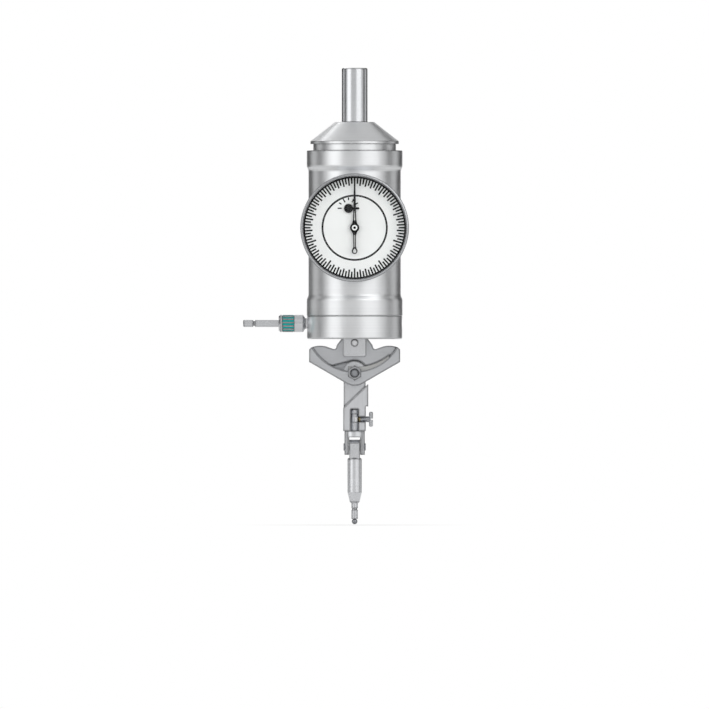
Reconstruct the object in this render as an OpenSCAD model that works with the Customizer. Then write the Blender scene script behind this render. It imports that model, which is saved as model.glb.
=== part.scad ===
// Coaxial centering indicator: a shank turns with the machine spindle and
// carries a tilting feeler, while the dial housing stands still on two bearings.
// Origin: the spindle axis at the foot of the shank. +Z up, the dial faces -Y.

/* [Shank and spindle] */
// Diameter of the shank that the chuck grips
shank_d = 10; // [8:0.5:11]
// Length of the shank above the cover
shank_l = 21; // [15:1:40]
// Rounding of the shank's upper edge
shank_edge = 0.6; // [0.3:0.1:1]
// Diameter of the shaft inside the housing
shaft_d = 12; // [11.6:0.1:12.6]
// Diameter of the lower bearing's seat on the spindle
journal_d = 15; // [14.6:0.1:15.6]
// Diameter of the flange under the lower bearing
flange_d = 17.2; // [16.8:0.1:17.6]
// Height of that flange
flange_h = 1.9; // [1.7:0.1:2.2]
// Width of the clevis prongs, seen from the front
prong_w = 9; // [7:0.5:10]
// Thickness of one prong
prong_t = 3.9; // [3:0.1:4]
// Gap between the prongs
prong_gap = 6.6; // [5.8:0.1:7]
// Length of the prongs below the housing
prong_l = 6.98; // [5:0.1:8]
// Corner radius at the prongs' lower end
prong_edge = 0.8; // [0.4:0.1:1.2]
// Diameter of the push rod's bore
rod_bore_d = 4.7; // [4:0.1:5.4]

/* [Housing] */
// Diameter of the flat top of the cone
cone_top_d = 15.2; // [14:0.2:18]
// How far the cone's rim lies inside the body's waist
rim_inset = 0.74; // [0.2:0.01:1.2]
// Height of the cone
cone_h = 7.44; // [6.8:0.1:9]
// Height of the straight rim under the cone
cone_rim_h = 1.07; // [0.8:0.1:2]
// How far the neck between cover and body lies inside the waist
neck_inset = 1.83; // [1.3:0.01:2.1]
// Height of the neck
neck_h = 2.53; // [2:0.1:4]
// Diameter of the body's waist
body_d = 35.78; // [35:0.1:37]
// How far the body's end bands stand out from the waist
band_rise = 0.67; // [0.3:0.01:1.1]
// Length of the body
body_l = 64.16; // [60:1:72]
// Height of the upper band
upper_band_h = 5.81; // [4:0.1:7]
// Height of the lower band
lower_band_h = 6; // [4:0.1:7]
// Height of the blend between a band and the waist
blend_h = 2.3; // [1:0.1:3]
// Thickness of the body's wall at its waist
body_wall = 2.39; // [2.2:0.01:2.6]
// How far the lower ring stands out from the waist
ring_rise = 0.56; // [0.2:0.01:0.9]
// Height of the lower ring
ring_h = 8.98; // [8.6:0.1:11]
// Rounding of the lower ring's edge
ring_edge = 0.6; // [0.3:0.1:1]
// Length of the spigots that fit into the body
spigot_l = 5; // [4.6:0.1:6]

/* [Dial] */
// Outer diameter of the bezel
bezel_d = 42; // [41.4:0.2:46]
// Width of the bezel's rim around the crystal
bezel_rim = 1.2; // [0.9:0.1:1.8]
// Radius of the fixed centre dial as a share of the crystal's radius
centre_share = 0.626; // [0.6:0.002:0.66]
// Height of the dial's centre under the top of the body
dial_drop = 30.06; // [27:0.5:33]
// How far the bezel's front stands out from the body's waist
dial_rise = 7.11; // [6.9:0.01:9]
// How far left the revolution counter sits, as a share of the crystal's radius
counter_left_share = 0.12; // [0.1:0.01:0.15]
// How far the counter sits over the dial's centre, as a share of the same
counter_up_share = 0.38; // [0.36:0.01:0.4]
// Turns of the pointer over the whole measuring range
pointer_turns = 6; // [5:1:7]

/* [Rocker] */
// Depth of the rocker's pivot under the housing
pivot_drop = 1.5; // [1.2:0.1:2]
// Diameter of the rocker's pivot pin
rocker_pin_d = 2.4; // [2:0.1:2.8]
// Width of the rocker
rocker_w = 35.28; // [33:0.02:38]
// Thickness of the rocker's middle web
web_t = 6.4; // [5.6:0.1:6.4]
// Thickness of one cheek of the rocker
cheek_t = 3.8; // [3:0.1:5]
// Half the width of the flat that lifts the push rod
tip_half = 4.6; // [4.2:0.1:4.8]
// Slope of the rocker's lower edges in degrees
rocker_slope = 30; // [28:1:32]
// Radius of the cheeks' hollow upper edge
hollow_r = 19; // [18:0.5:20]
// Largest tilt of the rocker in degrees
tilt_angle = 5; // [4:0.5:5]
// Height of the arm's bolt over the corner that the lower edges point to
bolt_rise = 5.9; // [5.7:0.1:6.6]
// Diameter of the arm's bolt
bolt_d = 2.9; // [2.4:0.1:3.2]
// Width across the flats of the hex nut
nut_af = 5.1; // [4.6:0.1:5.6]

/* [Swing arm] */
// Half the width of the arm's thin tang
tang_half = 4.24; // [3.8:0.1:4.6]
// Radius of the tang's round top
tang_r = 4.73; // [4.6:0.1:4.9]
// Thickness of the arm's block
block_t = 10; // [9:0.5:12]
// Length of the arm from its bolt to its lower face
arm_l = 22.48; // [21.6:0.5:28]
// Largest swing to the left in degrees
swing_left = 75; // [60:5:75]
// Largest swing to the right in degrees
swing_right = 14; // [8:1:14]

/* [Fork and feeler] */
// Diameter of the fork
fork_d = 7.88; // [7.4:0.1:8.4]
// Length of the fork
fork_l = 9.26; // [9:0.1:11]
// Width of the fork's slot
fork_slot = 4.2; // [3.6:0.1:4.4]
// Diameter of the fork's stud
stud_d = 3.5; // [3:0.1:3.9]
// Length of the fork's stud
stud_l = 8.39; // [8:0.1:9]
// Diameter of the fork's pin
fork_pin_d = 2.8; // [2:0.1:3]
// Diameter of the feeler
feeler_d = 5.5; // [5:0.1:6]
// Length of the feeler's straight part
feeler_l = 13.4; // [10:0.5:40]
// Length of the feeler's taper
taper_l = 4.05; // [3:0.1:8]
// Diameter of the feeler's slim end
tip_d = 2.5; // [2:0.1:3]
// Length of the slim end in front of the taper
tip_l = 6.21; // [5:0.1:20]
// Diameter of the contact ball
ball_d = 2.2; // [2:0.1:2.4]

/* [Restraint rod] */
// Diameter of the restraint rod
restraint_d = 2.72; // [2:0.1:2.8]
// Reach of the rod's end from the spindle axis
restraint_reach = 43.24; // [40:1:90]
// Diameter of the knurled nut
knurl_d = 6.66; // [6:0.1:8]
// Length of the knurled nut
knurl_l = 11.24; // [9:0.1:13]
// Number of flutes in the knurl
flutes = 15; // [10:1:18]
// Diameter of the two tapped holes in the lower ring
tapped_d = 3; // [2.8:0.1:3.1]

/* [Hidden] */
$fn = 64;

// One overrun for all cuts
eps = 0.5;
// Radial clearance of shafts that turn or slide in a bore
running = 0.05;
// Gap between faces that move past each other
air = 0.15;
// Gap between faces that carry each other
touch = 0.02;
// A length longer than the whole part, for cuts that pass through
far = 200;

// Heights along the spindle axis, from the foot of the shank down
rim_z = -cone_h;
neck_z = rim_z - cone_rim_h;
body_z = neck_z - neck_h;
ring_z = body_z - body_l;
bottom_z = ring_z - ring_h;
dial_z = body_z - dial_drop;
pivot_z = bottom_z - pivot_drop;
shoulder_drop = 2.6;
side_l = 4.8;
corner_drop = shoulder_drop + side_l + rocker_w / 2 * tan(rocker_slope);
bolt_drop = corner_drop - bolt_rise;
bolt_z = pivot_z - bolt_drop;
arm_z = bolt_z - arm_l;
screw_rise = 4.54;
screw_z = arm_z + screw_rise;
fork_pin_drop = 6.2;
fork_pin_z = arm_z - fork_pin_drop;

// Diameters that follow the body's waist
body_bore_d = body_d - 2 * body_wall;
band_d = body_d + 2 * band_rise;
ring_d = body_d + 2 * ring_rise;
neck_d = body_d - 2 * neck_inset;
cone_rim_d = body_d - 2 * rim_inset;
// Chamfer of the seams at the body's two ends
seam_edge = 0.2;

// A bearing's ball as a share of the room between its bore and its outside
ball_share = 0.535;
// Upper bearing, 12 x 24 x 6
upper_seat_wall = 3.5;
upper_od = body_bore_d - 2 * upper_seat_wall;
upper_w = 6;
upper_ball_d = ball_share * (upper_od - shaft_d) / 2;
upper_count = 12;
upper_bearing_drop = 4;
upper_bearing_z = body_z - upper_bearing_drop;
// Lower bearing, 15 x 28 x 7
lower_seat_wall = 1.5;
lower_od = body_bore_d - 2 * lower_seat_wall;
lower_w = 7;
flange_rise = 5.18;
lower_ball_d = ball_share * (lower_od - journal_d) / 2;
lower_count = 14;
lower_bearing_z = bottom_z + flange_rise + lower_w;
// Bearing races: shoulder height and edge as shares of the ball
shoulder_share = 0.2;
race_gap = 0.05;

// Circlips and rings on the shaft
clip_h = 0.8;
clip_depth = 0.5;
clip_rim = 1;
nut_h = 2.4;
nut_rim = 1.7;
retainer_h = 1.5;
retainer_w = 1.8;
lip_h = 0.9;
lip_w = 1.6;
seal_h = 1;
seal_w = 2.8;
cover_lip_h = 4;
mouth_gap = 0.6;

// Spindle clevis and push rod
foot_t = 1.5;
foot_half = 5.4;
tip_rise = 2.28;
slot_rise = 3.98;
slot_top_z = bottom_z + slot_rise;
rod_d = rod_bore_d - 2 * running;
foot_z = pivot_z + tip_rise + touch;
lift = tip_half * tilt_angle * PI / 180;
prong_half = prong_gap / 2 + prong_t;
pin_head_d = 3;
pin_head_h = 0.6;
pin_head_edge = 0.25;

// Movement: the lever's and the counter's turn over the range, in degrees
lever_angle = 10;
counter_angle = 180;
lever_arm = tip_half * tilt_angle / lever_angle;
sector_ratio = counter_angle / lever_angle;
glass_d = bezel_d - 2 * bezel_rim;
dial_r = glass_d / 2;
counter_x = -counter_left_share * dial_r;
counter_z = counter_up_share * dial_r;
pinion_share = 0.03535;
pinion_r = pinion_share * dial_r;
sector_r = pinion_r * sector_ratio;
lever_x = lever_arm;
lever_z = counter_z - sqrt(pow(sector_r + pinion_r, 2) - pow(lever_x - counter_x, 2));
finger_r = 0.5;
collar_d = 17.2;
collar_h = 5.8;
collar_top = dial_z + lever_z - finger_r - touch;
pin_drop = 2.9;
cross_z = collar_top - pin_drop;
cross_pin_d = 1.6;
rod_rise = 2;
rod_top = cross_z + rod_rise;
chamber_l = 12;
spring_wire = 0.5;
coil_gap = 0.3;
spring_d = rod_bore_d - 2 * coil_gap;
spring_steps = 14;
spring_sides = 6;
spring_turns = 9;

// Movement: distances forward of the spindle axis
lever_back_gap = 0.9;
lever_back_y = shaft_d / 2 + lever_back_gap;
rear_plate_gap = 0.6;
rear_plate_y = collar_d / 2 + rear_plate_gap;
rear_plate_t = 1;
inner_y = rear_plate_y + rear_plate_t;
ledge_rise = 0.41;
case_ledge_y = body_d / 2 + ledge_rise;
front_plate_t = 1.2;
// Levels as shares of the room between the plates
lever_share = 0.074;
wheel_share = 0.346;
spring_share = 0.593;
lever_y = inner_y + lever_share * (case_ledge_y - inner_y);
lever_t = 1;
wheel_y = inner_y + wheel_share * (case_ledge_y - inner_y);
wheel_t = 0.6;
pinion_t = 1.4;
spring_y = inner_y + spring_share * (case_ledge_y - inner_y);
arbor_share = 0.02;
arbor_r = arbor_share * dial_r;
pillar_share = 0.1;
pillar_d = pillar_share * dial_r;
pillar_ring_share = 0.6566;
pillar_ring_r = pillar_ring_share * dial_r;
rear_plate_rim = 1.5;
rear_plate_d = 2 * (pillar_ring_r + rear_plate_rim);
pillar_angles = [30, 150, 270];
plate_screw_r = 0.5;
plate_screw_head_r = 0.8;
plate_screw_head_h = 0.5;

// Dial: distances forward of the spindle axis
dial_depth = body_d / 2 + dial_rise;
centre_d = centre_share * glass_d;
nose_inset = 0.8;
nose_d = glass_d - 2 * nose_inset;
case_inset = 0.2;
case_d = glass_d - 2 * case_inset;
case_wall = 3.8;
window_d = glass_d - 2 * case_wall;
plate_wall = 1.7;
front_plate_d = nose_d - 2 * plate_wall;
case_back_y = 8;
case_shoulder_y = case_ledge_y - air;
dial_sink = 4.9;
dial_y = dial_depth - dial_sink;
dial_t = 0.6;
nose_y = dial_y - air;
foot_share = 0.34;
foot_angle = 60;
hand_t = 0.3;
counter_gap = 0.3;
counter_y = dial_y + dial_t + counter_gap;
pointer_gap = 0.7;
pointer_y = counter_y + hand_t + pointer_gap;
crystal_t = 1;
crystal_edge = 0.25;
crystal_sink = 0.6;
crystal_y = dial_depth - crystal_sink - crystal_t;
bezel_edge = 0.4;
wire_r = 0.3;
wire_sides = 16;
wire_open = 2.4;
groove_back = 0.9;
groove_y = dial_y - groove_back;
groove_half = 0.35;
groove_depth = 0.5;

// Gear teeth: half widths at the root, the pitch line and the tip as shares of a pitch
pinion_leaves = 6;
wheel_teeth = pointer_turns * pinion_leaves * 360 / counter_angle;
sector_leaves = 10;
tooth_shares = [0.27, 0.2, 0.07];
leaf_shares = [0.14, 0.16, 0.08];
tooth_root_share = 0.286;
tooth_tip_share = 0.171;
tooth_root = tooth_root_share * pinion_r;
tooth_tip = tooth_tip_share * pinion_r;

// Sector lever, its angles in degrees about its arbor
wheel_all = sector_leaves * sector_ratio;
sector_teeth = 12;
lead_teeth = 3;
sector_aim = atan2(counter_z - lever_z, counter_x - lever_x);
sector_start = sector_aim - lead_teeth * 360 / wheel_all;
sector_end = sector_start + (sector_teeth - 1) * 360 / wheel_all;
rim_r = sector_r - tooth_root;
rim_w = 1.6;
rail_low_angle = 13;
rail_high_angle = 32;
rail_from = sector_aim - rail_low_angle;
rail_to = sector_aim + rail_high_angle;
window_angle = 9;
land_angle = 1;
lever_hub_r = 1.6;
lever_w = 1.6;

// Counter wheel and the pointer's pinion
centre_gap = sqrt(pow(counter_x, 2) + pow(counter_z, 2));
wheel_r = centre_gap * wheel_teeth / (wheel_teeth + pinion_leaves);
leaf_pitch_r = centre_gap - wheel_r;
wheel_root_share = 0.52;
wheel_tip_share = 0.33;
leaf_root_share = 0.36;
leaf_tip_share = 0.36;
wheel_root = wheel_root_share * leaf_pitch_r;
wheel_tip = wheel_tip_share * leaf_pitch_r;
leaf_root = leaf_root_share * leaf_pitch_r;
leaf_tip = leaf_tip_share * leaf_pitch_r;
wheel_aim = atan2(-counter_z, -counter_x);

// Hairspring
spring_w = 0.5;
coil_steps = 80;
coil_strip = 0.12;
coil_from = 1;
coil_pitch = 0.7;
coil_turn = 20;
coil_to = coil_from + coil_pitch * coil_steps / coil_turn;
spring_post_r = 0.4;

// Hands
pointer_share = 0.98;
pointer_l = pointer_share * dial_r;
pointer_root_w = 1.35;
pointer_tip_w = 0.4;
tail_share = 0.4545;
tail_l = tail_share * dial_r;
tail_w = 1.15;
drop_r = 1.1;
drop_l = 1.4;
drop_rim = 0.4;
drop_angle = 20;
hub_r = 1.8;
flare_l = 1.6;
flare_angle = 30;
disc_r = 1.75;
counter_hand_l = 4.1;
counter_hand_w = 0.8;

// Rocker outline, from its pivot
under_r = 6.46;
under_z = under_r / cos(rocker_slope) - corner_drop;
lobe_share = 0.76;
lobe_x = lobe_share * rocker_w / 2;
lobe_r_share = 0.51;
lobe_r = lobe_r_share * rocker_w / 2;
lobe_drop = 1.09;
lobe_angle = 23;
notch_share = 0.4535;
notch_x = notch_share * rocker_w / 2;
notch_r = 0.9;
notch_drop = 2.42;
notch_angle = 295;
hub_share = 0.391;
hub_half = hub_share * rocker_w / 2;
hub_drop = 0.82;
hollow_rise = 0.56;
side_half = web_t / 2 + cheek_t;
web_back_t = 1.2;
slot_gap = 0.3;
head_d = 5.2;
head_h = 1.9;
washer_d = 5.4;
washer_t = 0.5;
nut_t = 2.3;
bolt_end = 0.7;
leaf_t = 0.5;
leaf_r = 20.5;
leaf_x = 0.6;
leaf_rise = 2.4;
leaf_w = 5;
leaf_reach = 13.4;

// Swing arm outline, from its bolt
step_x = 5.28;
step_drop = 4.24;
step_side = 4.42;
step_foot = 12.94;
step_low = 13.5;
block_half = 4.34;
screw_d = 2.35;
sight_share = 0.86;
sweep_steps = 12;
tang_t = web_t - leaf_t - web_back_t - 2 * air;
stud_head_h = 1.74;
stud_groove_h = 3.24;
stud_groove_depth = 0.15;
pad_x = stud_d / 2 - stud_groove_depth + running;
pad_l = 0.45;
knob_gap = 1.24;
knob_t = 1.54;
knob_edge = 0.3;
knob_d = 5.8;
knob_slot = 0.5;

// Fork and feeler
fork_top = 2.46;
fork_round = 0.11;
fork_round_r = fork_d / 2 + fork_round;
pin_dome = 0.36;
tang_top_r = 2.84;
tang_depth = 4.8;
feeler_gap = 0.21;
feeler_edge = 0.4;
feeler_z = fork_pin_z - fork_round_r - feeler_gap;
taper_z = feeler_z - feeler_l;
slim_z = taper_z - taper_l;
end_z = slim_z - tip_l;
taper_d = 3.8;
tip_groove_drop = 2.4;
tip_groove_w = 0.65;
tip_groove_depth = 0.25;
tip_bury = 6;
ball_bury = 0.12;
ball_z = end_z - ball_d / 2 + ball_bury;

// Restraint rod
restraint_rise = 6.05;
restraint_z = bottom_z + restraint_rise;
spot_depth = 0.25;
nut_end = -ring_d / 2 + spot_depth - touch;
spot_d = 4.4;
tap_depth = 3.35;
groove_at = 3.88;
rod_edge = 0.3;
groove_w = 0.76;
neck_r = 0.95;
knurl_cone = 0.89;
knurl_foot_d = 4.1;
band_from = 1.65;
band_w = 4.1;
flute_r = 0.42;
band_line = 0.3;
band_line_depth = 0.15;

// Turns local +Z forward and local +Y up, at a distance in front of the axis
module forward(y) translate([0, -y, 0]) rotate([90, 0, 0]) children();

// The same, about the dial's centre
module on_dial(y) translate([0, 0, dial_z]) forward(y) children();

// A ring about Z, standing on z = 0
module ring(outer_r, inner_r, h) {
    difference() {
        cylinder(r = outer_r, h = h);
        translate([0, 0, -eps]) cylinder(r = inner_r, h = h + 2 * eps);
    }
}

// A rod along X from x0 to x1
module rod_x(r, x0, x1) translate([x0, 0, 0]) rotate([0, 90, 0]) cylinder(r = r, h = x1 - x0);

// A box centred on X and Y, standing on z = 0
module bar(x, y, h) translate([-x / 2, -y / 2, 0]) cube([x, y, h]);

// Points of an eased step from [r0, z0] to [r1, z1]
function eased(r0, z0, r1, z1, n = 4) = [
    for (i = [0:n]) [r0 + (r1 - r0) * (1 - cos(180 * i / n)) / 2, z0 + (z1 - z0) * i / n]
];

// Points of an arc about [cx, cz], angles measured from +X
function arc(cx, cz, r, from, to, n = 8) = [
    for (i = [0:n]) let (a = from + (to - from) * i / n) [cx + r * cos(a), cz + r * sin(a)]
];

// A round bar along Z from zero, with a chamfer at its start and its end
module disc(r, h, start_edge, end_edge)
    rotate_extrude() polygon([
        [0, 0], [r - start_edge, 0], [r, start_edge],
        [r, h - end_edge], [r - end_edge, h], [0, h]
    ]);

// Outline of a gear: three levels a tooth on either flank
function tooth(a, pitch, root_r, pitch_r, tip_r, shares) = [
    for (s = [[root_r, -shares[0]], [pitch_r, -shares[1]], [tip_r, -shares[2]],
              [tip_r, shares[2]], [pitch_r, shares[1]], [root_r, shares[0]]])
        [s[0] * cos(a + s[1] * pitch), s[0] * sin(a + s[1] * pitch)]
];
function gear(count, all, start, root_r, pitch_r, tip_r, shares) = [
    for (i = [0:count - 1]) each tooth(start + i * 360 / all, 360 / all, root_r, pitch_r, tip_r, shares)
];

module spindle() color("lightsteelblue") {
    shaft_r = shaft_d / 2;
    journal_top = lower_bearing_z;
    flange_top = lower_bearing_z - lower_w;
    difference() {
        union() {
            rotate_extrude() polygon(concat(
                [[0, shank_l], [shank_d / 2 - shank_edge, shank_l]],
                arc(shank_d / 2 - shank_edge, shank_l - shank_edge, shank_edge, 90, 0),
                [
                    [shank_d / 2, 0], [shaft_r, 0],
                    [shaft_r, journal_top], [journal_d / 2, journal_top],
                    [journal_d / 2, flange_top], [flange_d / 2, flange_top],
                    [flange_d / 2, flange_top - flange_h], [0, flange_top - flange_h]
                ]
            ));
            intersection() {
                forward(-prong_half) linear_extrude(2 * prong_half) prong_shape();
                translate([0, 0, bottom_z - prong_l]) cylinder(r = flange_d / 2, h = far);
            }
        }
        // Gap between the prongs
        translate([0, 0, bottom_z - prong_l - eps])
            bar(2 * flange_d, prong_gap, slot_top_z - bottom_z + prong_l + eps);
        // Bore of the push rod, with the return spring's chamber at its top
        translate([0, 0, slot_top_z - eps])
            cylinder(r = rod_bore_d / 2, h = rod_top + chamber_l - slot_top_z + eps);
        // Slots of the cross pin
        pin_slot(cross_z, cross_z + lift);
        // Circlip grooves
        for (z = [upper_bearing_z - upper_w - clip_h, lower_bearing_z])
            translate([0, 0, z]) ring(shaft_d, shaft_r - clip_depth, clip_h);
        translate([0, 0, pivot_z]) rotate([90, 0, 0])
            cylinder(r = rocker_pin_d / 2, h = far, center = true);
    }
}

module prong_shape() {
    half = prong_w / 2;
    low = bottom_z - prong_l;
    polygon(concat(
        arc(-half + prong_edge, low + prong_edge, prong_edge, 180, 270, 4),
        arc(half - prong_edge, low + prong_edge, prong_edge, 270, 360, 4),
        [[half, slot_top_z + eps], [-half, slot_top_z + eps]]
    ));
}

// A slot along X for the cross pin, from one height of the pin to another
module pin_slot(z0, z1) {
    r = cross_pin_d / 2 + running;
    for (z = [z0, z1])
        translate([0, 0, z]) rod_x(r, -shaft_d, shaft_d);
    translate([0, 0, z0]) bar(2 * shaft_d, 2 * r, z1 - z0);
}

module spindle_nut() color("dimgray")
    translate([0, 0, upper_bearing_z]) difference() {
        ring(shaft_d / 2 + nut_rim, shaft_d / 2, nut_h);
        for (a = [0, 90])
            rotate(a) translate([0, 0, nut_h / 2]) bar(far, nut_rim, nut_h);
    }

// Inner and outer race of a ball bearing whose top face lies at z
module inner_race(z, bore, od, w, ball_d) {
    pitch_r = (bore + od) / 4;
    translate([0, 0, z - w]) rotate_extrude() difference() {
        translate([bore / 2, 0]) square([pitch_r - shoulder_share * ball_d - bore / 2, w]);
        translate([pitch_r, w / 2]) circle(r = ball_d / 2 + race_gap);
    }
}

module outer_race(z, bore, od, w, ball_d) {
    pitch_r = (bore + od) / 4;
    translate([0, 0, z - w]) rotate_extrude() difference() {
        translate([pitch_r + shoulder_share * ball_d, 0])
            square([od / 2 - pitch_r - shoulder_share * ball_d, w]);
        translate([pitch_r, w / 2]) circle(r = ball_d / 2 + race_gap);
    }
}

module ball_row(z, bore, od, w, ball_d, count) {
    for (i = [0:count - 1])
        rotate(i * 360 / count) translate([(bore + od) / 4, 0, z - w / 2]) sphere(r = ball_d / 2);
}

module upper_inner_race() color("silver")
    inner_race(upper_bearing_z, shaft_d, upper_od, upper_w, upper_ball_d);
module lower_inner_race() color("silver")
    inner_race(lower_bearing_z, journal_d, lower_od, lower_w, lower_ball_d);
module upper_outer_race() color("silver")
    outer_race(upper_bearing_z, shaft_d, upper_od, upper_w, upper_ball_d);
module lower_outer_race() color("silver")
    outer_race(lower_bearing_z, journal_d, lower_od, lower_w, lower_ball_d);
module upper_balls() color("gainsboro")
    ball_row(upper_bearing_z, shaft_d, upper_od, upper_w, upper_ball_d, upper_count);
module lower_balls() color("gainsboro")
    ball_row(lower_bearing_z, journal_d, lower_od, lower_w, lower_ball_d, lower_count);

// An open circlip seated in its groove
module circlip(z) color("dimgray")
    translate([0, 0, z]) difference() {
        ring(shaft_d / 2 + clip_rim, shaft_d / 2 - clip_depth, clip_h);
        translate([0, shaft_d, -eps]) bar(shaft_d / 2, 2 * shaft_d, clip_h + 2 * eps);
    }
module upper_circlip() circlip(upper_bearing_z - upper_w - clip_h);
module lower_circlip() circlip(lower_bearing_z);

module rocker_pin() color("gray")
    translate([0, 0, pivot_z]) {
        forward(-prong_half) cylinder(r = rocker_pin_d / 2, h = 2 * prong_half);
        forward(prong_half) disc(pin_head_d / 2, pin_head_h, 0, pin_head_edge);
    }

module push_rod() color("silver")
    difference() {
        union() {
            translate([0, 0, foot_z + foot_t / 2])
                cylinder(r = rod_d / 2, h = rod_top - foot_z - foot_t / 2);
            translate([0, 0, foot_z])
                bar(2 * foot_half, prong_gap - 2 * air, foot_t);
        }
        translate([0, 0, cross_z]) rod_x(cross_pin_d / 2, -shaft_d, shaft_d);
    }

module cross_pin() color("gray")
    translate([0, 0, cross_z]) rod_x(cross_pin_d / 2, -collar_d / 2 + air, collar_d / 2 - air);

module lift_collar() color("goldenrod")
    translate([0, 0, collar_top - collar_h]) difference() {
        ring(collar_d / 2, shaft_d / 2 + running, collar_h);
        translate([0, 0, collar_h - pin_drop]) rod_x(cross_pin_d / 2, -collar_d, collar_d);
    }

// A coil spring about Z, wound with flat ends
module coil(mean_r, wire, turns, h, steps, sides) {
    count = turns * steps;
    rise = h - wire;
    points = [
        for (i = [0:count]) let (a = 360 * i / steps, z = wire / 2 + rise * i / count)
            for (k = [0:sides - 1]) let (b = 360 * k / sides, r = mean_r + wire / 2 * cos(b))
                [r * cos(a), r * sin(a), z + wire / 2 * sin(b)]
    ];
    ends = [[for (k = [0:sides - 1]) k], [for (k = [sides - 1:-1:0]) count * sides + k]];
    skin = [
        for (i = [0:count - 1]) for (k = [0:sides - 1])
            let (a = i * sides + k, b = i * sides + (k + 1) % sides)
                each [[a, a + sides, b + sides], [a, b + sides, b]]
    ];
    polyhedron(points = points, faces = concat(ends, skin));
}

module return_spring() color("dimgray")
    translate([0, 0, rod_top + touch])
        coil((spring_d - spring_wire) / 2, spring_wire, spring_turns, chamber_l - 2 * touch,
             spring_steps, spring_sides);

module upper_cover() color("whitesmoke") {
    shaft_r = shaft_d / 2;
    seat_r = upper_od / 2;
    low = body_z - spigot_l - retainer_h;
    rotate_extrude() polygon([
        [shaft_r + air, 0], [cone_top_d / 2, 0], [cone_rim_d / 2, rim_z],
        [cone_rim_d / 2, neck_z], [neck_d / 2, neck_z], [neck_d / 2, body_z],
        [body_bore_d / 2, body_z], [body_bore_d / 2, low], [seat_r, low],
        [seat_r, upper_bearing_z], [seat_r - lip_w, upper_bearing_z],
        [seat_r - lip_w, -cover_lip_h], [shaft_r + air, -cover_lip_h]
    ]);
}

module upper_retainer() color("silver")
    translate([0, 0, upper_bearing_z - upper_w - retainer_h])
        ring(upper_od / 2, upper_od / 2 - retainer_w, retainer_h);

module body_shell() color("gainsboro") {
    low = ring_z;
    waist_top = body_z - upper_band_h;
    waist_low = ring_z + lower_band_h;
    difference() {
        rotate_extrude() polygon(concat(
            [[body_bore_d / 2, body_z], [band_d / 2 - seam_edge, body_z],
             [band_d / 2, body_z - seam_edge]],
            eased(band_d / 2, waist_top, body_d / 2, waist_top - blend_h),
            eased(body_d / 2, waist_low + blend_h, band_d / 2, waist_low),
            [[band_d / 2, low + seam_edge], [band_d / 2 - seam_edge, low], [body_bore_d / 2, low]]
        ));
        on_dial(0) cylinder(r = window_d / 2, h = far);
    }
}

module lower_ring() color("gainsboro") {
    seat_r = lower_od / 2;
    seat_low = lower_bearing_z - lower_w;
    mouth_r = flange_d / 2 + mouth_gap;
    difference() {
        rotate_extrude() polygon(concat(
            [[seat_r, ring_z + spigot_l], [body_bore_d / 2, ring_z + spigot_l],
             [body_bore_d / 2, ring_z], [ring_d / 2 - seam_edge, ring_z],
             [ring_d / 2, ring_z - seam_edge]],
            arc(ring_d / 2 - ring_edge, bottom_z + ring_edge, ring_edge, 0, -90),
            [
                [mouth_r, bottom_z], [mouth_r, seat_low - lip_h - seal_h],
                [flange_d / 2 + seal_w, seat_low - lip_h - seal_h],
                [flange_d / 2 + seal_w, seat_low - lip_h],
                [seat_r - lip_w, seat_low - lip_h], [seat_r - lip_w, seat_low], [seat_r, seat_low]
            ]
        ));
        for (a = [0, 180]) rotate(a) translate([0, 0, restraint_z]) {
            rod_x(spot_d / 2, ring_d / 2 - spot_depth, ring_d);
            rod_x(tapped_d / 2, ring_d / 2 - spot_depth - tap_depth, ring_d);
        }
    }
}

module lower_retainer() color("silver")
    translate([0, 0, lower_bearing_z]) ring(lower_od / 2, lower_od / 2 - retainer_w, retainer_h);

module dust_seal() color("saddlebrown")
    translate([0, 0, lower_bearing_z - lower_w - lip_h - seal_h])
        ring(flange_d / 2 + seal_w, flange_d / 2 + running, seal_h);

module dial_case() color("gainsboro")
    difference() {
        on_dial(0) union() {
            translate([0, 0, case_back_y]) cylinder(r = case_d / 2, h = case_shoulder_y - case_back_y);
            translate([0, 0, case_back_y]) cylinder(r = nose_d / 2, h = nose_y - case_back_y);
        }
        on_dial(0) cylinder(r = window_d / 2, h = far);
        on_dial(case_ledge_y) cylinder(r = front_plate_d / 2 + running, h = far);
        translate([0, 0, dial_z - far / 2]) cylinder(r = body_d / 2, h = far);
        on_dial(groove_y - groove_half)
            ring(nose_d, nose_d / 2 - groove_depth, 2 * groove_half);
    }

module bezel_wire() color("dimgray")
    difference() {
        on_dial(groove_y) rotate_extrude() translate([nose_d / 2, 0])
            circle(r = wire_r, $fn = wire_sides);
        on_dial(0) translate([0, -nose_d / 2, 0]) bar(wire_open, nose_d / 2, far);
    }

module front_plate() color("darkkhaki")
    on_dial(case_ledge_y) {
        difference() {
            cylinder(r = front_plate_d / 2, h = front_plate_t);
            arbor_holes(front_plate_t);
        }
        // Post that holds the hairspring's outer end
        translate([coil_to + coil_strip / 2 + running + spring_post_r, 0, spring_y - case_ledge_y])
            cylinder(r = spring_post_r, h = case_ledge_y + front_plate_t / 2 - spring_y);
    }

// Holes of the three arbors and the pillar screws
module arbor_holes(t) {
    for (p = [[0, 0], [counter_x, counter_z], [lever_x, lever_z]])
        translate([p[0], p[1], -eps]) cylinder(r = arbor_r + running, h = t + 2 * eps);
    for (a = pillar_angles)
        rotate(a) translate([pillar_ring_r, 0, -eps]) cylinder(r = plate_screw_r, h = t + 2 * eps);
}

module rear_plate() color("darkkhaki")
    on_dial(rear_plate_y) difference() {
        cylinder(r = rear_plate_d / 2, h = rear_plate_t);
        arbor_holes(rear_plate_t);
        translate([0, lever_z + lift / 2, -eps])
            cylinder(r = finger_r + lift, h = rear_plate_t + 2 * eps);
    }

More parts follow.
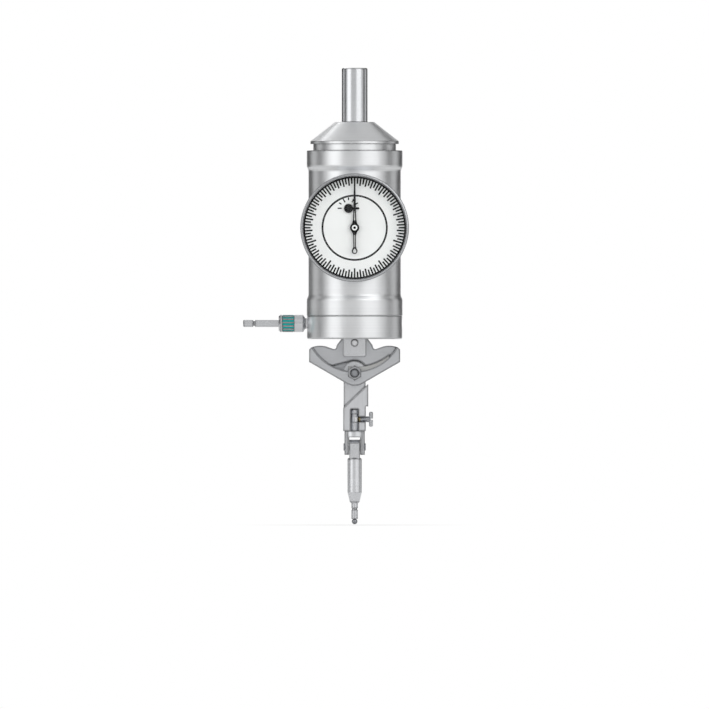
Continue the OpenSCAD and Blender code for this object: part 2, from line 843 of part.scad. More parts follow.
module pillars() color("goldenrod")
    on_dial(rear_plate_y + rear_plate_t) for (a = pillar_angles)
        rotate(a) translate([pillar_ring_r, 0, 0]) difference() {
            cylinder(r = pillar_d / 2, h = case_ledge_y - rear_plate_y - rear_plate_t);
            translate([0, 0, -eps]) cylinder(r = plate_screw_r, h = far);
        }

module plate_screws() color("dimgray")
    on_dial(rear_plate_y) for (a = pillar_angles)
        rotate(a) translate([pillar_ring_r, 0, 0]) {
            translate([0, 0, -plate_screw_head_h]) cylinder(r = plate_screw_head_r, h = plate_screw_head_h);
            cylinder(r = plate_screw_r, h = case_ledge_y + front_plate_t - rear_plate_y);
        }

module centre_dial() color("white")
    on_dial(dial_y) difference() {
        union() {
            cylinder(r = centre_d / 2, h = dial_t);
            for (a = pillar_angles) rotate(a - foot_angle)
                translate([foot_share * centre_d, 0, case_ledge_y + front_plate_t - dial_y])
                    cylinder(r = pillar_d / 2, h = dial_y - case_ledge_y - front_plate_t);
        }
        for (p = [[0, 0], [counter_x, counter_z]])
            translate([p[0], p[1], -eps]) cylinder(r = 2 * arbor_r, h = dial_t + 2 * eps);
    }

module hairspring() color("steelblue")
    on_dial(spring_y) linear_extrude(spring_w) polygon(concat(
        [for (i = [0:coil_steps]) spiral_point(i, coil_strip / 2)],
        [for (i = [coil_steps:-1:0]) spiral_point(i, -coil_strip / 2)]
    ));

function spiral_point(i, shift) =
    let (a = 360 * i / coil_turn, r = coil_from + coil_pitch * i / coil_turn + shift)
        [r * cos(a), r * sin(a)];

module bezel() color("silver")
    on_dial(0) difference() {
        rotate_extrude() polygon([
            [nose_d / 2 + running, case_ledge_y], [bezel_d / 2, case_ledge_y],
            [bezel_d / 2, dial_depth - bezel_edge], [bezel_d / 2 - bezel_edge, dial_depth],
            [glass_d / 2, dial_depth], [glass_d / 2, dial_y],
            [nose_d / 2 + running, dial_y]
        ]);
        translate([0, 0, groove_y - groove_half])
            ring(nose_d / 2 + groove_depth, nose_d / 4, 2 * groove_half);
    }

module crystal() color([0.8, 0.9, 0.95, 0.35])
    on_dial(crystal_y) disc(glass_d / 2, crystal_t, 0, crystal_edge);

module graduated_ring() color("white")
    on_dial(dial_y) ring(glass_d / 2, centre_d / 2 + air, dial_t);

module sector_lever() color("goldenrod")
    on_dial(lever_y) translate([lever_x, lever_z, 0]) {
        difference() {
            union() {
                linear_extrude(lever_t) difference() {
                    polygon(concat(
                        [[0, 0]],
                        arc(0, 0, rim_r, rail_from, sector_start - land_angle, 2),
                        gear(sector_teeth, wheel_all, sector_start, rim_r, sector_r,
                             sector_r + tooth_tip, tooth_shares),
                        arc(0, 0, rim_r, sector_end + land_angle, rail_to, 4)
                    ));
                    // Window that the pointer's arbor stands in
                    polygon(concat(
                        arc(0, 0, rim_r - rim_w, rail_from + window_angle, rail_to - window_angle, 8),
                        arc(0, 0, 2 * lever_hub_r, rail_to - window_angle, rail_from + window_angle, 8)
                    ));
                }
                cylinder(r = lever_hub_r, h = lever_t);
                translate([-lever_x, -lever_w / 2, 0]) cube([lever_x, lever_w, lever_t]);
                translate([-lever_x, 0, 0]) cylinder(r = lever_w / 2, h = lever_t);
            }
            translate([0, 0, -eps]) cylinder(r = arbor_r, h = lever_t + 2 * eps);
        }
        translate([-lever_x, 0, lever_back_y - lever_y]) cylinder(r = finger_r, h = lever_y - lever_back_y);
    }

module lever_arbor() color("gray")
    on_dial(rear_plate_y) translate([lever_x, lever_z, 0])
        cylinder(r = arbor_r, h = case_ledge_y + front_plate_t - rear_plate_y);

// An arbor with its pinion, turned so that a gap faces the driving gear
module arbor(x, z, y_end, y_pinion, pinion_h, leaves, pitch_r, root, tip, aim)
    on_dial(rear_plate_y) translate([x, z, 0]) {
        cylinder(r = arbor_r, h = y_end - rear_plate_y);
        translate([0, 0, y_pinion - rear_plate_y]) linear_extrude(pinion_h) polygon(
            gear(leaves, leaves, aim + 180 / leaves, pitch_r - root, pitch_r, pitch_r + tip, leaf_shares)
        );
    }

module counter_arbor() color("gray")
    arbor(counter_x, counter_z, counter_y + 2 * hand_t, lever_y, lever_t, sector_leaves,
          pinion_r, tooth_root, tooth_tip, sector_aim + 180);

module counter_wheel() color("goldenrod")
    on_dial(wheel_y) translate([counter_x, counter_z, 0]) difference() {
        linear_extrude(wheel_t) polygon(
            gear(wheel_teeth, wheel_teeth, wheel_aim, wheel_r - wheel_root, wheel_r,
                 wheel_r + wheel_tip, tooth_shares)
        );
        translate([0, 0, -eps]) cylinder(r = arbor_r, h = wheel_t + 2 * eps);
    }

module pointer_arbor() color("gray") {
    arbor(0, 0, pointer_y + 3 * hand_t, wheel_y - (pinion_t - wheel_t) / 2, pinion_t, pinion_leaves,
          leaf_pitch_r, leaf_root, leaf_tip, wheel_aim + 180);
    // Collet that the hairspring's inner end sits on
    on_dial(spring_y) cylinder(r = coil_from - coil_strip / 2 - running, h = spring_w);
}

module counter_hand() color("black")
    on_dial(counter_y) translate([counter_x, counter_z, 0]) difference() {
        union() {
            cylinder(r = disc_r, h = hand_t);
            translate([0, -counter_hand_w / 2, 0])
                cube([counter_hand_l - counter_hand_w / 2, counter_hand_w, hand_t]);
            translate([counter_hand_l - counter_hand_w / 2, 0, 0])
                cylinder(r = counter_hand_w / 2, h = hand_t);
        }
        translate([0, 0, -eps]) cylinder(r = arbor_r, h = hand_t + 2 * eps);
    }

// Right half of the pointer's outline, from its tip down to its tail's drop
function pointer_right() = concat(
    [
        [pointer_tip_w / 2, pointer_l], [pointer_root_w / 2, hub_r + flare_l],
        [hub_r * sin(flare_angle), hub_r * cos(flare_angle)],
        [hub_r * sin(flare_angle), -hub_r * cos(flare_angle)],
        [tail_w / 2, -hub_r - flare_l / 2], [tail_w / 2, drop_l - tail_l]
    ],
    arc(0, -tail_l, drop_r, drop_angle, -90, 6)
);

module pointer() color("black")
    on_dial(pointer_y) difference() {
        union() {
            cylinder(r = hub_r, h = 2 * hand_t);
            linear_extrude(hand_t) difference() {
                polygon(concat(pointer_right(), mirrored(pointer_right())));
                polygon(concat(
                    [[0, drop_l - drop_rim - tail_l]],
                    arc(0, -tail_l, drop_r - drop_rim, 150, 390, 10)
                ));
            }
        }
        translate([0, 0, -eps]) cylinder(r = arbor_r, h = 2 * hand_t + 2 * eps);
    }

// Right half of the rocker's outline, seen from the front, from the pivot at [0, 0]
function rocker_right() = concat(
    [[tip_half, tip_rise], [hub_half, -hub_drop]],
    arc(notch_x, notch_r - notch_drop, notch_r, 180, notch_angle, 5),
    arc(lobe_x, -lobe_drop - lobe_r, lobe_r, 90 + lobe_angle, 90 - lobe_angle, 8),
    [
        [rocker_w / 2 - slot_gap, -shoulder_drop + slot_gap],
        [rocker_w / 2, -shoulder_drop], [rocker_w / 2, -shoulder_drop - side_l]
    ],
    arc(0, under_z, under_r, rocker_slope - 90, -90, 6)
);
function mirrored(points) = [for (i = [len(points) - 1:-1:0]) [-points[i][0], points[i][1]]];
module rocker_outline() polygon(concat(rocker_right(), mirrored(rocker_right())));

// The space that the arm's tang sweeps, about the bolt
module tang_sweep() {
    w = tang_r + slot_gap;
    reach = rocker_w;
    top = arc(0, 0, w, swing_right, 180 - swing_left, sweep_steps);
    translate([0, -bolt_drop]) polygon(concat(
        top,
        [
            top[sweep_steps] - reach * [sin(swing_left), cos(swing_left)], [-reach, -reach],
            [reach, -reach], top[0] + reach * [sin(swing_right), -cos(swing_right)]
        ]
    ));
}

module rocker() color("lightgray")
    translate([0, 0, pivot_z]) difference() {
        union() {
            forward(-web_t / 2) linear_extrude(web_back_t) rocker_outline();
            forward(web_back_t - web_t / 2) linear_extrude(web_t - web_back_t) difference() {
                rocker_outline();
                tang_sweep();
            }
            for (y = [web_t / 2, -web_t / 2 - cheek_t])
                forward(y) linear_extrude(cheek_t) difference() {
                    rocker_outline();
                    translate([0, hollow_r + hollow_rise - bolt_drop]) circle(r = hollow_r);
                }
        }
        forward(web_t / 2 - leaf_t) linear_extrude(leaf_t) leaf_strip(air);
        forward(-far / 2) cylinder(r = rocker_pin_d / 2 + running, h = far);
        translate([0, 0, -bolt_drop]) forward(-far / 2) cylinder(r = bolt_d / 2, h = far);
    }

module arm_bolt() color("gray")
    translate([0, 0, bolt_z]) {
        forward(-side_half - washer_t)
            cylinder(r = bolt_d / 2, h = 2 * side_half + washer_t + nut_t + bolt_end);
        forward(-side_half - washer_t - head_h) cylinder(r = head_d / 2, h = head_h);
    }

module hex_nut() color("gray")
    translate([0, 0, bolt_z]) forward(side_half) difference() {
        rotate(90) cylinder(r = nut_af / 2 / cos(30), h = nut_t, $fn = 6);
        translate([0, 0, -eps]) cylinder(r = bolt_d / 2, h = nut_t + 2 * eps);
    }

module wave_washer() color("dimgray")
    translate([0, 0, bolt_z]) forward(-side_half - washer_t) ring(washer_d / 2, bolt_d / 2, washer_t);

// Curved strip that the friction leaf is cut from, or its recess when a gap is given
module leaf_strip(gap) {
    intersection() {
        translate([leaf_x, leaf_r - bolt_drop + leaf_rise]) difference() {
            circle(r = leaf_r + leaf_w + gap);
            circle(r = leaf_r - gap);
        }
        translate([-leaf_w / 2 - gap, -far / 2]) square([leaf_reach + leaf_w / 2 + 2 * gap, far]);
    }
}

module friction_leaf() color("tan")
    translate([0, 0, pivot_z]) forward(web_t / 2 - leaf_t) linear_extrude(leaf_t) difference() {
        intersection() {
            leaf_strip(0);
            rocker_outline();
        }
        translate([0, -bolt_drop]) circle(r = bolt_d / 2);
    }

module swing_arm() color("silver")
    translate([0, 0, bolt_z]) difference() {
        union() {
            forward(web_t / 2 - leaf_t - air - tang_t) linear_extrude(tang_t) union() {
                circle(r = tang_r);
                translate([-tang_half, -step_foot - tang_half])
                    square([2 * tang_half, step_foot + tang_half]);
            }
            forward(-block_t / 2) linear_extrude(block_t) polygon([
                [-step_side, -arm_l], [-step_side, -step_low],
                [step_x, -step_drop], [step_x, -step_foot], [block_half, -step_foot],
                [block_half, -arm_l]
            ]);
        }
        forward(-far / 2) cylinder(r = bolt_d / 2 + running, h = far);
        // Stud bore and its sight slot
        translate([0, 0, -arm_l - eps]) cylinder(r = stud_d / 2 + running, h = stud_l + eps + air);
        translate([0, 0, -arm_l - eps]) sight(stud_d * sight_share, stud_l + eps + air);
        // Screw hole and its sight slot
        translate([0, 0, screw_z - bolt_z]) {
            rod_x(screw_d / 2 + running, 0, step_x + eps);
            translate([0, 0, -screw_d * sight_share / 2])
                translate([0, -block_t, 0]) cube([step_x + eps, block_t, screw_d * sight_share]);
        }
    }

// A slot from the axis out through the arm's front
module sight(w, h) translate([-w / 2, -block_t, 0]) cube([w, block_t, h]);

module thumb_screw() color("gray")
    translate([0, 0, screw_z]) {
        rod_x(screw_d / 2, pad_x + pad_l, block_half + knob_gap);
        difference() {
            translate([block_half + knob_gap, 0, 0]) rotate([0, 90, 0])
                disc(knob_d / 2, knob_t, knob_edge, knob_edge);
            translate([block_half + knob_gap + knob_t / 2, -far / 2, -knob_slot / 2])
                cube([knob_t, far, knob_slot]);
        }
    }

module clamp_pad() color("darkgoldenrod")
    translate([0, 0, screw_z]) rod_x(screw_d / 2, pad_x, pad_x + pad_l);

module fork() color("silver") {
    top = arm_z - touch;
    low = arm_z - fork_l;
    difference() {
        union() {
            intersection() {
                translate([0, 0, low]) cylinder(r = fork_d / 2, h = top - low);
                union() {
                    translate([0, 0, fork_pin_z]) rod_x(fork_round_r, -fork_d, fork_d);
                    translate([0, 0, fork_pin_z]) bar(2 * fork_d, 2 * fork_d, far);
                }
            }
            translate([0, 0, top - eps]) cylinder(r = stud_d / 2, h = stud_l + eps + touch);
        }
        translate([0, 0, arm_z + stud_l - stud_head_h - stud_groove_h])
            ring(stud_d, stud_d / 2 - stud_groove_depth, stud_groove_h);
        translate([0, 0, low - eps]) bar(fork_slot, 2 * fork_d, fork_l - fork_top + eps);
        translate([0, 0, fork_pin_z]) rod_x(fork_pin_d / 2, -fork_d, fork_d);
    }
}

module fork_pin() color("gray")
    translate([0, 0, fork_pin_z])
        rod_x(fork_pin_d / 2, -fork_d / 2 - pin_dome, fork_d / 2 + pin_dome);

module feeler_body() color("silver") {
    r = feeler_d / 2;
    difference() {
        union() {
            rotate_extrude() polygon([
                [0, feeler_z], [r - feeler_edge, feeler_z], [r, feeler_z - feeler_edge],
                [r, taper_z], [taper_d / 2, slim_z + feeler_edge],
                [taper_d / 2 - feeler_edge, slim_z], [0, slim_z]
            ]);
            intersection() {
                translate([0, 0, feeler_z - eps]) bar(fork_slot - 2 * running, tang_depth, far);
                union() {
                    translate([0, 0, fork_pin_z]) rod_x(tang_top_r, -fork_d, fork_d);
                    translate([0, 0, feeler_z - eps]) bar(fork_d, tang_depth, fork_pin_z - feeler_z + eps);
                }
            }
        }
        translate([0, 0, fork_pin_z]) rod_x(fork_pin_d / 2 + running, -fork_d, fork_d);
        translate([0, 0, slim_z - eps]) cylinder(r = tip_d / 2, h = tip_bury + eps);
    }
}

module feeler_tip() color("gray")
    difference() {
        translate([0, 0, end_z]) cylinder(r = tip_d / 2, h = tip_l + tip_bury);
        translate([0, 0, slim_z - tip_groove_drop - tip_groove_w / 2])
            ring(tip_d, tip_d / 2 - tip_groove_depth, tip_groove_w);
        translate([0, 0, ball_z]) sphere(r = ball_d / 2);
    }

module contact_ball() color("dimgray")
    translate([0, 0, ball_z]) sphere(r = ball_d / 2);

module restraint_rod() color("silver")
    translate([0, 0, restraint_z]) {
        difference() {
            translate([-restraint_reach, 0, 0]) rotate([0, 90, 0])
                disc(restraint_d / 2, restraint_reach + nut_end, rod_edge, 0);
            translate([-restraint_reach + groove_at, 0, 0]) rotate([0, 90, 0])
                ring(restraint_d, neck_r, groove_w);
        }
        rod_x(tapped_d / 2 - running, nut_end, nut_end + tap_depth);
    }

module knurled_nut() color("silver")
    translate([nut_end, 0, restraint_z]) rotate([0, -90, 0]) difference() {
        rotate_extrude() polygon([
            [restraint_d / 2, 0], [knurl_foot_d / 2, 0], [knurl_foot_d / 2, knurl_cone],
            [knurl_d / 2, 2 * knurl_cone], [knurl_d / 2, knurl_l - ring_edge],
            [knurl_d / 2 - ring_edge, knurl_l], [restraint_d / 2, knurl_l]
        ]);
        for (i = [0:flutes - 1])
            rotate(i * 360 / flutes)
                translate([knurl_d / 2, 0, knurl_l - band_from - band_w - band_line / 2])
                    cylinder(r = flute_r, h = band_w + band_line);
        for (z = [knurl_l - band_from, knurl_l - band_from - band_w - band_line])
            translate([0, 0, z]) ring(knurl_d, knurl_d / 2 - band_line_depth, band_line);
    }

spindle();
spindle_nut();
upper_inner_race();
lower_inner_race();
upper_circlip();
lower_circlip();
rocker_pin();
return_spring();
push_rod();
cross_pin();
lift_collar();
upper_cover();
body_shell();
lower_ring();
upper_outer_race();
lower_outer_race();
upper_balls();
lower_balls();
upper_retainer();
lower_retainer();
dust_seal();
dial_case();
bezel_wire();
front_plate();
rear_plate();
pillars();
plate_screws();
centre_dial();
hairspring();
bezel();
crystal();
graduated_ring();
sector_lever();
lever_arbor();
counter_arbor();
counter_wheel();
counter_hand();
pointer_arbor();
pointer();
rocker();
arm_bolt();
hex_nut();
wave_washer();
friction_leaf();
swing_arm();
thumb_screw();
clamp_pad();
fork();
fork_pin();
feeler_body();
feeler_tip();
contact_ball();
restraint_rod();
knurled_nut();
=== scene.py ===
"""Looks of a coaxial centering indicator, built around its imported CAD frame.

Lengths are in millimetres, and are turned into metres where a mesh or a node takes them.
Front is -Y, up is +Z, and the spindle axis is x = y = 0. A depth counts forward, as -y.
"""

import math

import bmesh
import bpy
from mathutils import Matrix, Vector


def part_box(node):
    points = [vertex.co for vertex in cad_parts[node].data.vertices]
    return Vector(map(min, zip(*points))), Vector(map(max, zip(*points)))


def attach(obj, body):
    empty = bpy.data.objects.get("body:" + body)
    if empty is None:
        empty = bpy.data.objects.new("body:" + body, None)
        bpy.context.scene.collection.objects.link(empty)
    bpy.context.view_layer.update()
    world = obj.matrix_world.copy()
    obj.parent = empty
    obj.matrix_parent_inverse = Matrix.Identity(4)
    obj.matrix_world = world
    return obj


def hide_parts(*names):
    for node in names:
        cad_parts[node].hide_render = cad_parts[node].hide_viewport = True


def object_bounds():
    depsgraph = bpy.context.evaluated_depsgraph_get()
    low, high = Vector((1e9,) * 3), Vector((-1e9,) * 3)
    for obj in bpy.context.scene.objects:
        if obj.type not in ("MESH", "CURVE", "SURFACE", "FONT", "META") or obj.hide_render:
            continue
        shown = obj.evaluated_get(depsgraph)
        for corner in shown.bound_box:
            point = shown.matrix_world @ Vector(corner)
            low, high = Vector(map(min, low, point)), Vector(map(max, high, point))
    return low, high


MM = 0.001
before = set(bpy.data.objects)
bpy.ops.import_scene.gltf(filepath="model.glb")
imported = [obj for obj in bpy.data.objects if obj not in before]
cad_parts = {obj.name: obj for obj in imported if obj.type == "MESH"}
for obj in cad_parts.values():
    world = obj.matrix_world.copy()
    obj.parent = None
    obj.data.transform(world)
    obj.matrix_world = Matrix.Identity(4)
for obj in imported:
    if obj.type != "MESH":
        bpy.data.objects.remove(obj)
cad_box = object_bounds()


# Places that the CAD gives


def bounds_of(node):
    """Lowest and highest corner of a CAD node."""
    low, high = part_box(node)
    return low / MM, high / MM


def middle_of(node):
    """Middle of a CAD node's box."""
    low, high = bounds_of(node)
    return (low + high) / 2


def half_of(node, axis=0):
    """Half of a CAD node's size along an axis, which is the radius of a round one."""
    low, high = bounds_of(node)
    return (high[axis] - low[axis]) / 2


def depths_of(node):
    """How far forward a CAD node's back and its front lie."""
    low, high = bounds_of(node)
    return -high.y, -low.y


X_AXIS = Vector((1, 0, 0))
Y_AXIS = Vector((0, 1, 0))
Z_AXIS = Vector((0, 0, 1))
ORIGIN = Vector((0, 0, 0))
DIAL_Z = middle_of("bezel").z
COUNTER_X = middle_of("counter_arbor").x
COUNTER_Z = middle_of("counter_arbor").z
DIAL_CENTRE = Vector((0, 0, DIAL_Z))
COUNTER_CENTRE = Vector((COUNTER_X, 0, COUNTER_Z))
PIVOT_CENTRE = Vector((0, 0, middle_of("rocker_pin").z))
BOLT_CENTRE = Vector((0, 0, middle_of("arm_bolt").z))
SCREW_CENTRE = Vector((0, 0, middle_of("thumb_screw").z))
ROD_CENTRE = Vector((0, 0, middle_of("restraint_rod").z))


# Node trees

# Values between which a noise texture mostly lies
NOISE_LOW = 0.3
NOISE_HIGH = 0.7
# Cosine of the turn of a rounded normal where the edge's painted dark outline, which is painted
# shade, starts, and where it is full
DRAWN_START = 0.998
DRAWN_FULL = 0.96
# How much further in than the rounding the painted edge shade reaches
DRAWN_REACH = 2.4
EDGE_SAMPLES = 4


class Tree:
    """A short way to write a node tree."""

    def __init__(self, node_tree):
        self.nodes = node_tree.nodes
        self.links = node_tree.links
        self.nodes.clear()

    def put(self, socket, value):
        """Links a socket or sets a plain value."""
        if isinstance(value, bpy.types.NodeSocket):
            self.links.new(value, socket)
        else:
            socket.default_value = value

    def fill(self, node, values):
        """Fills a node's inputs in their order."""
        for socket, value in zip(node.inputs, values):
            self.put(socket, value)
        return node

    def math(self, operation, *values):
        """A calculation with numbers."""
        node = self.nodes.new("ShaderNodeMath")
        node.operation = operation
        return self.fill(node, values).outputs[0]

    def vector(self, operation, *values):
        """A calculation with vectors, a number where it is a length or a dot product."""
        node = self.nodes.new("ShaderNodeVectorMath")
        node.operation = operation
        self.fill(node, values)
        return node.outputs["Value" if operation in ("LENGTH", "DOT_PRODUCT") else "Vector"]

    def combine(self, *values):
        """A vector from three numbers."""
        return self.fill(self.nodes.new("ShaderNodeCombineXYZ"), values).outputs[0]

    def ramp(self, value, low, high, to_low=0.0, to_high=1.0):
        """Maps a range of a value to another range, and clamps it there."""
        node = self.nodes.new("ShaderNodeMapRange")
        return self.fill(node, (value, low, high, to_low, to_high)).outputs[0]


class Paint(Tree):
    """A material with one main shader, whose textures sit in the object's own space."""

    def __init__(self, name):
        self.mat = bpy.data.materials.new(name)
        self.mat.use_nodes = True
        super().__init__(self.mat.node_tree)
        self.out = self.nodes.new("ShaderNodeOutputMaterial")
        self.skin = self.nodes.new("ShaderNodeBsdfPrincipled")
        self.links.new(self.skin.outputs[0], self.out.inputs[0])
        self.place = self.nodes.new("ShaderNodeTexCoord").outputs["Object"]

    def set(self, name, value):
        """Sets or links one of the main shader's sockets."""
        self.put(self.skin.inputs[name], value)

    def blend(self, share, shader):
        """Mixes another shader over the main one."""
        both = self.nodes.new("ShaderNodeMixShader")
        self.put(both.inputs[0], share)
        self.links.new(self.skin.outputs[0], both.inputs[1])
        self.links.new(shader.outputs[0], both.inputs[2])
        self.links.new(both.outputs[0], self.out.inputs[0])

    def noise(self, scales, detail=2.0, roughness=0.5):
        """Noise with so many cells a metre along each axis."""
        return self.noise_at(self.vector("MULTIPLY", self.place, scales), detail, roughness)

    def noise_at(self, place, detail, roughness):
        """Noise at places of its own."""
        node = self.nodes.new("ShaderNodeTexNoise")
        self.put(node.inputs["Vector"], place)
        node.inputs["Scale"].default_value = 1.0
        node.inputs["Detail"].default_value = detail
        node.inputs["Roughness"].default_value = roughness
        return node.outputs["Fac"]

    def spread(self, noise, low, high):
        """Noise mapped to a range."""
        return self.ramp(noise, NOISE_LOW, NOISE_HIGH, low, high)

    def mix(self, share, a, b):
        """A mix of two colours."""
        node = self.nodes.new("ShaderNodeMix")
        node.data_type = "RGBA"
        self.put(node.inputs["Factor"], share)
        colours = [socket for socket in node.inputs if socket.type == "RGBA"]
        self.put(colours[0], a)
        self.put(colours[1], b)
        return next(socket for socket in node.outputs if socket.type == "RGBA")

    def bump(self, height, strength, distance, normal=None):
        """A normal disturbed by a height."""
        node = self.nodes.new("ShaderNodeBump")
        self.put(node.inputs["Height"], height)
        node.inputs["Strength"].default_value = strength
        node.inputs["Distance"].default_value = distance * MM
        if normal is not None:
            self.put(node.inputs["Normal"], normal)
        return node.outputs[0]

    def bevel(self, radius):
        """The normal, rounded at sharp edges."""
        node = self.nodes.new("ShaderNodeBevel")
        node.samples = EDGE_SAMPLES
        node.inputs["Radius"].default_value = radius * MM
        return node.outputs[0]

    def edge(self, radius):
        """The rounded normal at an edge, and a mask of the edge, where metals paint shade as a
        dark outline.
        """
        flat_normal = self.nodes.new("ShaderNodeNewGeometry").outputs["Normal"]
        turned_by = self.vector("DOT_PRODUCT", self.bevel(radius * DRAWN_REACH), flat_normal)
        return self.bevel(radius), self.ramp(turned_by, DRAWN_START, DRAWN_FULL)

    def rings(self, centre, axis, pitch):
        """How far places lie along and out from an axis, and fine lathe lines about it."""
        rel = self.vector("SUBTRACT", self.place, tuple(centre * MM))
        along = self.vector("DOT_PRODUCT", rel, tuple(axis))
        out = self.vector("LENGTH", self.vector("CROSS_PRODUCT", rel, tuple(axis)))
        scale = 1 / (pitch * MM)
        place = self.combine(
            self.math("MULTIPLY", along, scale), self.math("MULTIPLY", out, scale), 0.0
        )
        return along, out, self.noise_at(place, 3.0, 0.7)


def rgba(colour, factor=1.0):
    """A colour times a factor, as a socket takes it."""
    return (*[c * factor for c in colour], 1.0)


# Radius of a metal's rounded edges, and how much of its colour they keep where shade is painted
# along them as a dark outline
EDGE_R = 0.22
EDGE_SHADE_SHARE = 0.3
# Pitch and depth of lathe lines, and depth of ground lines
PITCH = 0.12
TURNED_DEPTH = 0.006
GROUND_DEPTH = 0.004
# Cells a metre of smears and of fine grain on metal
SMEARS = (90.0, 90.0, 60.0)
GRAIN = (900.0, 900.0, 900.0)
# How much of a metal's shading comes from its lines, the rest from smears
LINE_SHARE = 0.55
# Factors of a metal's colour where its shading is darkest and lightest
TONE_LOW = 0.90
TONE_HIGH = 1.06
# What smears and fine grain add to or take from the roughness, and what an edge takes
SMEAR_ROUGH = 0.03
GRAIN_ROUGH = 0.01
EDGE_ROUGH = 0.08
LINE_BUMP = 0.35


def finish_metal(tree, colour, rough, lines, depth, edge=EDGE_R, share=EDGE_SHADE_SHARE):
    """Shared end of every metal: grain, smears, and painted shade that darkens its edges like an
    outline.
    """
    smear = tree.noise(SMEARS, 3.0, 0.6)
    fine = tree.noise(GRAIN, 1.0)
    normal, mask = tree.edge(edge)
    smear_part = tree.math("MULTIPLY", smear, 1 - LINE_SHARE)
    tone = tree.math("MULTIPLY_ADD", lines, LINE_SHARE, smear_part)
    shade = tree.spread(tone, 0.0, 1.0)
    body = tree.mix(shade, rgba(colour, TONE_LOW), rgba(colour, TONE_HIGH))
    # Painted shade: the edge mask darkens the colour to a share of itself, like a drawn outline
    tree.set("Base Color", tree.mix(mask, body, rgba(colour, share)))
    tree.set("Metallic", 1.0)
    level = tree.spread(smear, rough - SMEAR_ROUGH, rough + SMEAR_ROUGH)
    level = tree.math("ADD", level, tree.spread(fine, -GRAIN_ROUGH, GRAIN_ROUGH))
    level = tree.math("SUBTRACT", level, tree.math("MULTIPLY", mask, EDGE_ROUGH))
    tree.set("Roughness", level)
    tree.set("Normal", tree.bump(lines, LINE_BUMP, depth, normal))
    return tree.mat


def turned(name, colour, rough, centre, axis, pitch=PITCH, depth=TURNED_DEPTH, **edges):
    """Metal turned on a lathe: fine rings about an axis."""
    tree = Paint(name)
    lines = tree.rings(centre, axis, pitch)[2]
    return finish_metal(tree, colour, rough, lines, depth, **edges)


def ground(name, colour, rough, scales, depth=GROUND_DEPTH, **edges):
    """Metal ground flat: scratches run along the axis that has the smallest scale."""
    tree = Paint(name)
    lines = tree.noise(scales, 4.0, 0.65)
    return finish_metal(tree, colour, rough, lines, depth, **edges)


# Knurled band of the restraint rod's nut: start, half length, and radii of its grooves
KNURL_FROM = 1.5
KNURL_HALF = 2.25
GROOVE_LOW_R = 3.05
GROOVE_TOP_R = 3.28
KNURL_CENTRE = ROD_CENTRE + X_AXIS * (bounds_of("knurled_nut")[0].x + KNURL_FROM + KNURL_HALF)


def knurled(name, colour, rough, paint, **edges):
    """Turned nut whose knurl grooves hold paint."""
    tree = Paint(name)
    along, out, lines = tree.rings(KNURL_CENTRE, X_AXIS, PITCH)
    finish_metal(tree, colour, rough, lines, TURNED_DEPTH, **edges)
    in_band = tree.math("LESS_THAN", tree.math("ABSOLUTE", along), KNURL_HALF * MM)
    deep = tree.ramp(out, GROOVE_TOP_R * MM, GROOVE_LOW_R * MM)
    mask = tree.math("MULTIPLY", in_band, deep)
    metal = tree.skin.inputs["Base Color"].links[0].from_socket
    tree.set("Base Color", tree.mix(mask, metal, rgba(paint)))
    tree.set("Metallic", tree.math("SUBTRACT", 1.0, mask))
    return tree.mat


def painted(name, colour, rough, grain=0.003, specular=0.5):
    """Matt paint or ink with a slight grain."""
    tree = Paint(name)
    tree.set("Specular IOR Level", specular)
    fine = tree.noise((1500.0, 1500.0, 1500.0))
    wide = tree.noise((160.0, 160.0, 160.0))
    shade = tree.spread(wide, 0.0, 1.0)
    tree.set("Base Color", tree.mix(shade, rgba(colour, 0.965), rgba(colour)))
    tree.set("Roughness", tree.spread(fine, rough - 0.05, rough + 0.05))
    tree.set("Normal", tree.bump(fine, 0.25, grain))
    return tree.mat


def felt(name, colour):
    """Pressed wool with short fibres."""
    tree = Paint(name)
    fibres = tree.noise((2500.0, 2500.0, 2500.0), 4.0)
    tree.set("Base Color", tree.mix(fibres, rgba(colour, 0.7), rgba(colour)))
    tree.set("Roughness", 0.95)
    tree.set("Sheen Weight", 0.3)
    tree.set("Normal", tree.bump(fibres, 0.6, 0.05))
    return tree.mat


def glass(name):
    """Clear flat crystal that lets the lamps through to the dial."""
    tree = Paint(name)
    dust = tree.noise((700.0, 700.0, 700.0), 3.0)
    tree.set("Base Color", rgba((0.98, 0.99, 0.99)))
    tree.set("Transmission Weight", 1.0)
    tree.set("IOR", 1.15)
    tree.set("Roughness", tree.ramp(dust, 0.35, 0.75, 0.0, 0.02))
    path = tree.nodes.new("ShaderNodeLightPath")
    tree.blend(path.outputs["Is Shadow Ray"], tree.nodes.new("ShaderNodeBsdfTransparent"))
    return tree.mat


# Materials

CHROME = (0.80, 0.81, 0.82)
STEEL = (0.74, 0.75, 0.77)
ROCKER_STEEL = (0.60, 0.61, 0.63)
ARM_STEEL = (0.72, 0.73, 0.75)
BRIGHT = (0.82, 0.82, 0.84)
DARK = (0.33, 0.34, 0.36)
BLUED = (0.16, 0.24, 0.45)
BRASS = (0.80, 0.66, 0.36)
LEAF_STEEL = (0.62, 0.62, 0.61)
RIM_STEEL = (0.60, 0.61, 0.63)
BOLT_STEEL = (0.36, 0.37, 0.39)
DIAL_WHITE = (0.93, 0.93, 0.92)
INK = (0.006, 0.006, 0.007)
STRIPE = (0.55, 0.55, 0.54)
TEAL = (0.0, 0.42, 0.40)
FELT = (0.35, 0.29, 0.22)
# Cells a metre of rolled sheet, whose lines run along X
ROLLED = (300.0, 3000.0, 3000.0)
